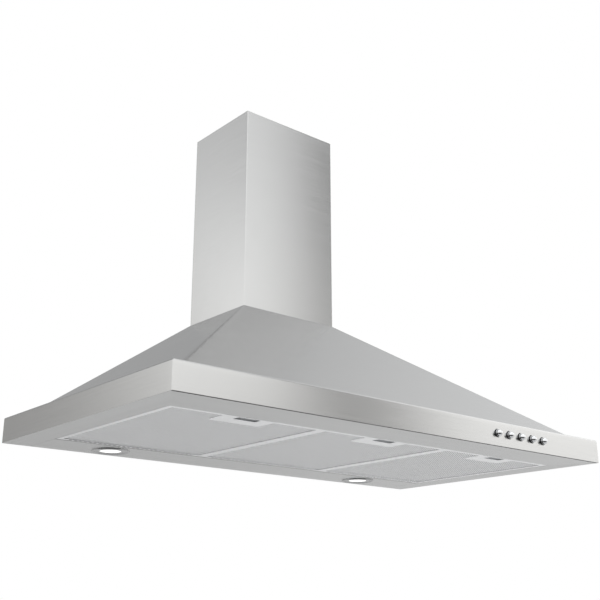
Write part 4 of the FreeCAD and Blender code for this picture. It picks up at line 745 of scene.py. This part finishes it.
def turnedMesh(profile, centre, axis, segments):
    # a profile of (radius, height) carried round an axis: radius times cosine and sine, height along it
    profile = np.asarray(profile, float)
    angles = np.linspace(0.0, 2 * math.pi, segments, endpoint=False)
    radius, height = profile[:, 0][:, None], profile[:, 1][:, None]
    first, second = radius * np.cos(angles), radius * np.sin(angles)
    height = np.broadcast_to(height, first.shape)
    if axis == "z":
        grid = np.stack([centre[0] + first, centre[1] + second, centre[2] + height], -1)
    else:
        # height runs out of the band's face, towards -y
        grid = np.stack([centre[0] + first, centre[1] - height, centre[2] + second], -1)
    return grid.reshape(-1, 3), [gridFaces(len(profile), segments, wrapColumns=True)]


# push buttons: a chrome dome and trim ring on a black skirt; depths are measured from the wall
buttonLook = {
    "radius": 0.0061,
    "inside": 0.484,
    "skirtEnd": 0.4919,
    "ringEnd": 0.4926,
    "ringInner": 0.0055,
    "ringLap": 0.0004,
    "neckEnd": 0.4934,
    "neckGap": 0.00005,
    "domeRadius": 0.0054,
    "domeLap": 0.0005,
    "domeFoot": 0.0050,
    "domeSteps": 22,
    "tip": 0.4988,
    "stem": 0.003,
    "stemEnd": 0.459,
    "ringBends": (0.0001, 0.0001, 0.0003, 0.0002),
    "skirtBends": (0, 0.0004, 0.0002, 0.0004, 0.0002, 0.0001, 0.0001, 0),
    "segments": 64,
}


def domeProfile(b):
    # part of a sphere through the neck's edge and the tip: radius times sine out, radius times cosine up
    rise = b["tip"] - b["neckEnd"]
    sphere = (b["domeRadius"] ** 2 + rise ** 2) / (2 * rise)
    angle = np.linspace(math.atan2(b["domeRadius"], sphere - rise), 0.0, b["domeSteps"])
    out = np.maximum(sphere * np.sin(angle), axisRadius)
    arc = np.column_stack([out, b["tip"] - sphere + sphere * np.cos(angle)])
    foot = b["neckEnd"] - b["domeLap"]
    return np.vstack([[(axisRadius, foot), (b["domeFoot"], foot)], arc])


def trimProfile(b):
    # a thin rounded ring round the foot of the dome, closed on itself
    low, high, inner, outer = b["skirtEnd"] - b["ringLap"], b["ringEnd"], b["ringInner"], b["radius"]
    path = roundedPath([(inner, low), (outer, low), (outer, high), (inner, high)], b["ringBends"])
    return np.vstack([path, path[:1]])


def skirtProfile(b):
    # a thin stem, a step out to the skirt, a step in to the neck under the dome
    neck = b["domeRadius"] + b["neckGap"]
    corners = [
        (axisRadius, b["stemEnd"]), (b["stem"], b["stemEnd"]), (b["stem"], b["inside"]),
        (b["radius"], b["inside"]), (b["radius"], b["skirtEnd"]), (neck, b["skirtEnd"]),
        (neck, b["neckEnd"]), (axisRadius, b["neckEnd"]),
    ]
    return roundedPath(corners, b["skirtBends"])


for index, button in enumerate(buttonNames):
    centre = (canopy["buttonFirst"] + canopy["buttonPitch"] * index, 0.0, canopy["buttonLevel"])
    dome, trim, skirt = (
        turnedMesh(profile(buttonLook), centre, "y", buttonLook["segments"])
        for profile in (domeProfile, trimProfile, skirtProfile)
    )
    body = "button_" + button
    outwardMesh(buildMesh("pushButton_" + button, joined(dome, trim), chrome, body, [body]))
    outwardMesh(buildMesh("buttonSkirt_" + button, skirt, pebbled["blackPlastic"], body))
print("buttons made")

# lamps: satin ring and frosted lens; heights are measured up from the light panel's face
lampLook = {
    "x": 0.281,
    "y": -0.043,
    "mouth": 0.0180,
    "mouthTop": 0.0018,
    "lip": 0.0016,
    "lipFoot": 0.0030,
    "lipDrop": 0.0011,
    "seat": -0.0010,
    "rim": 0.0275,
    "rimSlope": 0.0012,
    "drop": 0.0022,
    "ring": 0.032,
    "ringSlope": 0.0006,
    "ringRise": 0.0004,
    "tube": 0.027,
    "tubeInner": 0.025,
    "tubeTop": 0.012,
    "ringBends": (
        0.0002, 0.0002, 0.0002, 0.0004, 0.0004, 0.0006, 0.0006, 0.0005, 0.0006, 0.0002, 0.0002, 0.0002,
    ),
    "ringSegments": 120,
    "lens": 0.0178,
    "lensEdge": 0.0012,
    "lensDrop": 0.0004,
    "lensRise": 0.0002,
    "flange": 0.0246,
    "flangeTop": 0.0015,
    "lensBends": (0, 0.0006, 0.0001, 0.0001, 0.0002, 0.0002, 0),
    "lensSegments": 96,
}


def ringProfile(c):
    # a raised outer rim, a flat band inside it, and a low lip round the lens, closed on itself
    mouth, rim, drop = c["mouth"], c["rim"], c["drop"]
    corners = [
        (c["tubeInner"], c["tubeTop"]), (c["tubeInner"], c["mouthTop"]), (mouth, c["mouthTop"]),
        (mouth, -c["lipDrop"]), (mouth + c["lip"], -c["lipDrop"]), (mouth + c["lipFoot"], c["seat"]),
        (rim, c["seat"]), (rim + c["rimSlope"], -drop), (c["ring"] - c["ringSlope"], -drop + c["ringRise"]),
        (c["ring"], 0.0), (c["tube"], 0.0), (c["tube"], c["tubeTop"]),
    ]
    path = roundedPath(corners, c["ringBends"])
    return np.vstack([path, path[:1]])


def lensProfile(c):
    # a shallow crown that steps back to the flange behind the ring
    drop, rise = c["lensDrop"], c["lensRise"]
    corners = [
        (axisRadius, -drop), (c["lens"] - c["lensEdge"], -drop + rise), (c["lens"], 0.0), (c["lens"], rise),
        (c["flange"], rise), (c["flange"], c["flangeTop"]), (axisRadius, c["flangeTop"]),
    ]
    return roundedPath(corners, c["lensBends"])


for side, name in zip((-1, 1), sideNames):
    centre = (side * lampLook["x"], lampLook["y"], 0.0)
    ring = turnedMesh(ringProfile(lampLook), centre, "z", lampLook["ringSegments"])
    lens = turnedMesh(lensProfile(lampLook), centre, "z", lampLook["lensSegments"])
    for label, shape, finish, slotName, replaced in (
        ("lampRing_", ring, pebbled["bezelSatin"], "bezel", "lamp_bezel_"),
        ("lampGlass_", lens, lensGlow, "lens", "lamp_lens_"),
    ):
        weighted(outwardMesh(buildMesh(label + name, shape, finish, "hood", [replaced + name])))
print("lamps made")

# filter frames: a channel all round, worked out on an uneven grid of cells that are either metal or empty
filterLook = {
    "half": 0.13418,
    "front": -0.4126,
    "rear": -0.090,
    "height": 0.009,
    "lip": 0.008,
    "wall": 0.0008,
    "tabPlace": 0.080,
    "tabHalf": 0.015,
    "tabReach": 0.009,
    "tabLow": 0.0013,
    "tabHigh": 0.0023,
    "plateHalf": 0.0443,
    "tongueHalf": 0.0093,
    "tongueLow": 0.0042,
    "tongueHigh": 0.0066,
    "slotCount": 27,
    "slotPitch": 0.0086,
    "slotHalf": 0.0024,
    "slotFront": -0.0970,
    "slotRear": -0.0932,
    "edge": 0.00018,
}


def cellFaces(solid, x, y, z):
    # a face stands wherever a filled cell meets an empty one, and it looks to the empty side
    filled = np.pad(solid, 1)
    shape = (len(x), len(y), len(z))
    quads = []
    for axis in range(3):
        here = np.moveaxis(filled, axis, 0)
        # first the faces whose further cell is the filled one, then those whose nearer cell is
        for furtherFilled in (True, False):
            meets = (here[1:] & ~here[:-1]) if furtherFilled else (here[:-1] & ~here[1:])
            level, u, v = np.nonzero(meets[:, 1:-1, 1:-1])
            corners = [(u, v), (u, v + 1), (u + 1, v + 1), (u + 1, v)]
            # the middle axis turns the other way round
            if furtherFilled == (axis == 1):
                corners = corners[::-1]
            ring = []
            for a, b in corners:
                place = [a, b]
                place.insert(axis, level)
                ring.append(np.ravel_multi_index(place, shape))
            quads.append(np.stack(ring, -1))
    used, index = np.unique(np.vstack(quads), return_inverse=True)
    i, j, k = np.unravel_index(used, shape)
    return np.stack([x[i], y[j], z[k]], -1), [index.reshape(-1, 4)]


def filterFrame(c, middle):
    half, front, rear, lip, wall = c["half"], c["front"], c["rear"], c["lip"], c["wall"]
    slots = (np.arange(c["slotCount"]) - (c["slotCount"] - 1) / 2) * c["slotPitch"]
    marks = [half, half - wall, half - lip, c["plateHalf"], c["tongueHalf"]]
    marks += [c["tabPlace"] - c["tabHalf"], c["tabPlace"] + c["tabHalf"]]
    marks = np.concatenate([marks, np.negative(marks), slots - c["slotHalf"], slots + c["slotHalf"]])
    x = np.unique(np.round(marks, 6))
    y = [front, front + wall, front + lip, rear - lip, c["slotFront"], c["slotRear"], rear - wall, rear]
    y = np.array(y + [rear + c["tabReach"]])
    top = c["height"] - wall
    z = np.array([0.0, wall, c["tabLow"], c["tabHigh"], c["tongueLow"], c["tongueHigh"], top, c["height"]])
    mx, my, mz = np.meshgrid((x[1:] + x[:-1]) / 2, (y[1:] + y[:-1]) / 2, (z[1:] + z[:-1]) / 2, indexing="ij")
    side = np.abs(mx)
    inPlan = my < rear
    inWindow = (side < half - lip) & (my > front + lip) & (my < rear - lip)
    inWeb = (side < half - wall) & (my > front + wall) & (my < rear - wall)
    low = mz < wall
    # walls all round and two lips
    solid = inPlan & (~inWeb | (~inWindow & (low | (mz > top))))
    # less the place of the latch plate, the tongue's window in the front wall, and the drain slots
    solid &= ~((side < c["plateHalf"]) & inWeb & (my < front + lip) & low)
    onTongue = (side < c["tongueHalf"]) & (mz > c["tongueLow"]) & (mz < c["tongueHigh"])
    solid &= ~(onTongue & (my < front + wall))
    inSlot = np.abs(mx[..., None] - slots).min(-1) < c["slotHalf"]
    solid &= ~(inSlot & (my > c["slotFront"]) & (my < c["slotRear"]) & low)
    # and two tabs at the rear
    onTab = (np.abs(side - c["tabPlace"]) < c["tabHalf"]) & (mz > c["tabLow"]) & (mz < c["tabHigh"])
    solid |= onTab & (my > rear - wall)
    points, blocks = cellFaces(solid, x, y, z)
    return points + (middle, 0.0, 0.0), blocks


for number, middle in filterPlaces.items():
    piece = buildMesh(
        "filterChannel_" + number,
        filterFrame(filterLook, middle),
        pebbled["filterSheet"],
        "filter_" + number,
        ["filter_frame_" + number],
        False,
    )
    softened(outwardMesh(piece), filterLook["edge"])
print("filter frames:", len(piece.data.polygons), "faces each")

# filter mesh: diamonds cut and stretched from one sheet, in three layers
innerLayer = {"wide": 0.0080, "tall": 0.0054, "hole": 0.62, "lift": 0.00022}
meshLook = {
    "face": {"level": 0.0010, "wide": 0.0064, "tall": 0.00412, "hole": 0.38, "lift": -0.00015},
    "inner": (dict(innerLayer, level=0.0045), dict(innerLayer, level=0.0079)),
    "halfWidth": 0.1315,
    "front": -0.4098,
    "rear": -0.0922,
    "latchHalf": 0.0411,
    "latchRear": -0.3702,
}


def diamondLayer(layer, c, middle):
    wide, tall = layer["wide"], layer["tall"]
    columns = int(2 * c["halfWidth"] / wide)
    rows = int((c["rear"] - c["front"]) / tall)
    start = np.array([-columns * wide / 2, (c["front"] + c["rear"]) / 2 - rows * tall / 2])
    # diamond centres: a square lattice and the same lattice moved by half a cell both ways
    centres = []
    for fewer, shift in ((0, 0.5), (1, 1.0)):
        i, j = np.meshgrid(np.arange(columns - fewer), np.arange(rows - fewer), indexing="ij")
        centres.append(start + (np.stack([i, j], -1).reshape(-1, 2) + shift) * (wide, tall))
    centres = np.vstack(centres)
    behindLatch = (np.abs(centres[:, 0]) < c["latchHalf"]) & (centres[:, 1] < c["latchRear"])
    centres = centres[~behindLatch][:, None, :]
    # outer diamond and hole diamond; the strands lean, so that the holes open towards the room
    shape = np.array([(wide / 2, 0.0), (0.0, tall / 2), (-wide / 2, 0.0), (0.0, -tall / 2)])
    plan = np.concatenate([centres + shape, centres + shape * layer["hole"]], 1)
    lean = np.array([0.0, 0.0, 0.0, 0.0, 0.0, layer["lift"], 0.0, -layer["lift"]])
    height = np.broadcast_to(layer["level"] + lean, plan.shape[:2])
    points = np.concatenate([plan + (middle, 0.0), height[..., None]], -1).reshape(-1, 3)
    # four quads between the two diamonds, whose points are 0 to 3 and 4 to 7
    k = np.arange(4)
    ring = np.stack([k, (k + 1) % 4, 4 + (k + 1) % 4, 4 + k], -1)
    return points, [(8 * np.arange(len(plan))[:, None, None] + ring).reshape(-1, 4)]


for number, middle in filterPlaces.items():
    body = "filter_" + number
    face = diamondLayer(meshLook["face"], meshLook, middle)
    inner = joined(*(diamondLayer(layer, meshLook, middle) for layer in meshLook["inner"]))
    replaced = ["filter_mesh_" + number]
    piece = buildMesh(
        "expandedMesh_" + number, face, pebbled["expandedSheet"], body, replaced, smooth=False
    )
    # the inner layers take the darker copy of the aluminium, painted shade
    buildMesh("innerMesh_" + number, inner, pebbled["expandedShade"], body, smooth=False)
print("filter mesh:", len(piece.data.polygons), "faces in each outer layer")

# bevel widths of the CAD nodes that stay, by the start of their names
softEdges = {
    "latch_plate_": 0.0004,
    "latch_slider_": 0.0003,
    "control_box": 0.0008,
    "lamp_driver": 0.0008,
    "switch_body": 0.0006,
}
for name, node in nodes.items():
    for start, width in softEdges.items():
        if name.startswith(start):
            softened(node, width)

# stage: to reflections the floor is dark towards the camera's side, and a little darker far back on the left
# front is how far off the dark starts and is full; backY and backX are where the rear patch fades in
stageLook = {
    "level": -0.95,
    "half": 8.0,
    "rough": 0.8,
    "seen": (0.86, 0.86, 0.86),
    "mirrored": 0.74,
    "towards": (-0.6, -0.8),
    "front": (0.6, 1.2),
    "frontShare": 0.97,
    "backY": (3.2, 5.0),
    "backX": (6.2, 3.2),
    "backShare": 0.36,
}


def makeFloor(c):
    half, level = c["half"], c["level"]
    points = [(-half, -half, level), (half, -half, level), (half, half, level), (-half, half, level)]
    mesh = bpy.data.meshes.new("floor")
    mesh.from_pydata(points, [], [(0, 1, 2, 3)])
    floor = bpy.data.objects.new("floor", mesh)
    bpy.context.scene.collection.objects.link(floor)
    # paler to the camera than to the steel above it
    material, tree, shader = startMaterial("paleFloor", 0.0)
    shader.inputs["Roughness"].default_value = c["rough"]
    x, y, z = splitVector(tree, objectPoint(tree))
    ahead = plus(tree, times(tree, x, c["towards"][0]), times(tree, y, c["towards"][1]))
    front = spread(tree, ahead, *c["front"], 1.0, 1.0 - c["frontShare"])
    back = times(tree, spread(tree, y, *c["backY"]), spread(tree, x, *c["backX"]))
    back = minus(tree, 1.0, times(tree, back, c["backShare"]))
    grey = times(tree, times(tree, front, back), c["mirrored"])
    isCamera = addNode(tree, "ShaderNodeLightPath").outputs["Is Camera Ray"]
    join(tree, mixNode(tree, "RGBA", isCamera, grey, (*c["seen"], 1.0)), shader.inputs["Base Color"])
    mesh.materials.append(material)


makeFloor(stageLook)

# place, size and power of each soft box, all aimed at one point
lightLook = {
    "keyBox": ((0.5, -2.0, 3.0), 1.8, 10.0),
    "fillBox": ((-1.6, -1.0, 3.0), 1.6, 5.0),
}
lightTarget = (0.0, -0.25, 0.15)


def areaLight(name, place, size, power):
    data = bpy.data.lights.new(name, "AREA")
    data.size = size
    data.energy = power
    lamp = bpy.data.objects.new(name, data)
    bpy.context.scene.collection.objects.link(lamp)
    lamp.location = place
    lamp.rotation_euler = Vector(np.subtract(lightTarget, place)).to_track_quat("-Z", "Y").to_euler()


for name, values in lightLook.items():
    areaLight(name, *values)

# soft panels all round: directions are degrees round from the room's side, positive to the right
# a panel's four edges are where it starts, is full, starts to fade and is gone; its gain is a plain factor
# screens are darker upright patches: edges round, edges up and the share that they take away
studioLook = {
    "base": 0.44,
    "left": (-158.0, -140.2, 38.8, 43.0),
    "leftGain": 0.78,
    "right": (44.0, 52.0, 92.0, 141.0),
    "rightGain": 1.00,
    "crest": (9.0, 17.0, 19.0, 29.0),
    "crestGain": 0.66,
    "level": 0.80,
    "below": 0.78,
    "screens": (
        ((-150.0, -137.0, -112.0, -96.0), (17.0, 24.0, 60.0, 80.0), 0.45),
        ((39.2, 42.4, 46.5, 50.0), (18.0, 25.0, 31.0, 36.0), 0.99),
        ((28.0, 38.0, 40.0, 43.0), (-20.0, -10.0, 11.0, 17.0), 0.12),
        ((84.0, 98.0, 112.0, 124.0), (8.0, 18.0, 60.0, 80.0), 0.12),
    ),
    "tint": (12.0, 22.0),
    "warm": (1.0, 0.994, 0.98),
    "cool": (0.985, 0.992, 1.0),
}
fadeMargin = 0.01  # degrees that keep the last two edges of a panel apart


def window(tree, value, edges, gain):
    # rises between the first two edges and falls between the last two
    up = spread(tree, value, edges[0], edges[1], curve="SMOOTHSTEP")
    down = minus(tree, 1.0, spread(tree, value, edges[2], edges[3] + fadeMargin, curve="SMOOTHSTEP"))
    return times(tree, times(tree, up, down), gain)


def makeWorld(c):
    # white for the camera; for everything else the panels, with a dark gap between two of them
    world = bpy.data.worlds.new("studio")
    bpy.context.scene.world = world
    world.use_nodes = True
    tree = world.node_tree
    tree.nodes.clear()
    x, y, z = splitVector(tree, addNode(tree, "ShaderNodeTexCoord").outputs["Generated"])
    turn = mathNode(tree, "DEGREES", mathNode(tree, "ARCTAN2", x, times(tree, y, -1.0)))
    tilt = mathNode(tree, "DEGREES", mathNode(tree, "ARCSINE", z))
    left = window(tree, turn, c["left"], c["leftGain"])
    right = window(tree, turn, c["right"], c["rightGain"])
    crest = plus(tree, window(tree, tilt, c["crest"], c["crestGain"]), c["level"])
    light = plus(tree, times(tree, plus(tree, left, right), crest), c["base"])
    for aroundEdges, upEdges, share in c["screens"]:
        screen = times(tree, window(tree, turn, aroundEdges, 1.0), window(tree, tilt, upEdges, share))
        light = times(tree, light, minus(tree, 1.0, screen))
    strength = mixNode(tree, "FLOAT", mathNode(tree, "GREATER_THAN", z, 0.0), c["below"], light)
    # warm low down and cool higher up
    height = spread(tree, tilt, *c["tint"], curve="SMOOTHSTEP")
    tint = mixNode(tree, "RGBA", height, (*c["warm"], 1.0), (*c["cool"], 1.0))
    studio = fill(tree, addNode(tree, "ShaderNodeBackground"), Color=tint, Strength=strength)
    white = fill(tree, addNode(tree, "ShaderNodeBackground"), Color=(1.0, 1.0, 1.0, 1.0))
    choice = addNode(tree, "ShaderNodeMixShader")
    join(tree, addNode(tree, "ShaderNodeLightPath").outputs["Is Camera Ray"], choice.inputs[0])
    join(tree, studio.outputs[0], choice.inputs[1])
    join(tree, white.outputs[0], choice.inputs[2])
    output = addNode(tree, "ShaderNodeOutputWorld")
    join(tree, choice.outputs[0], output.inputs["Surface"])


makeWorld(studioLook)

# pitch is up from level and yaw is round from straight at the wall, both in radians
cameraLook = {
    "place": (-1.061845, -1.454584, -0.259463),
    "pitch": 0.319,
    "yaw": -0.701,
    "lens": 57.437,
    "sensor": 36.0,
}
cameraData = bpy.data.cameras.new("camera")
cameraData.lens = cameraLook["lens"]
cameraData.sensor_width = cameraLook["sensor"]
camera = bpy.data.objects.new("camera", cameraData)
bpy.context.scene.collection.objects.link(camera)
camera.location = cameraLook["place"]
camera.rotation_euler = (math.pi / 2 + cameraLook["pitch"], 0.0, cameraLook["yaw"])
bpy.context.scene.camera = camera
bpy.context.scene.view_settings.view_transform = "Standard"
print("stage ready")
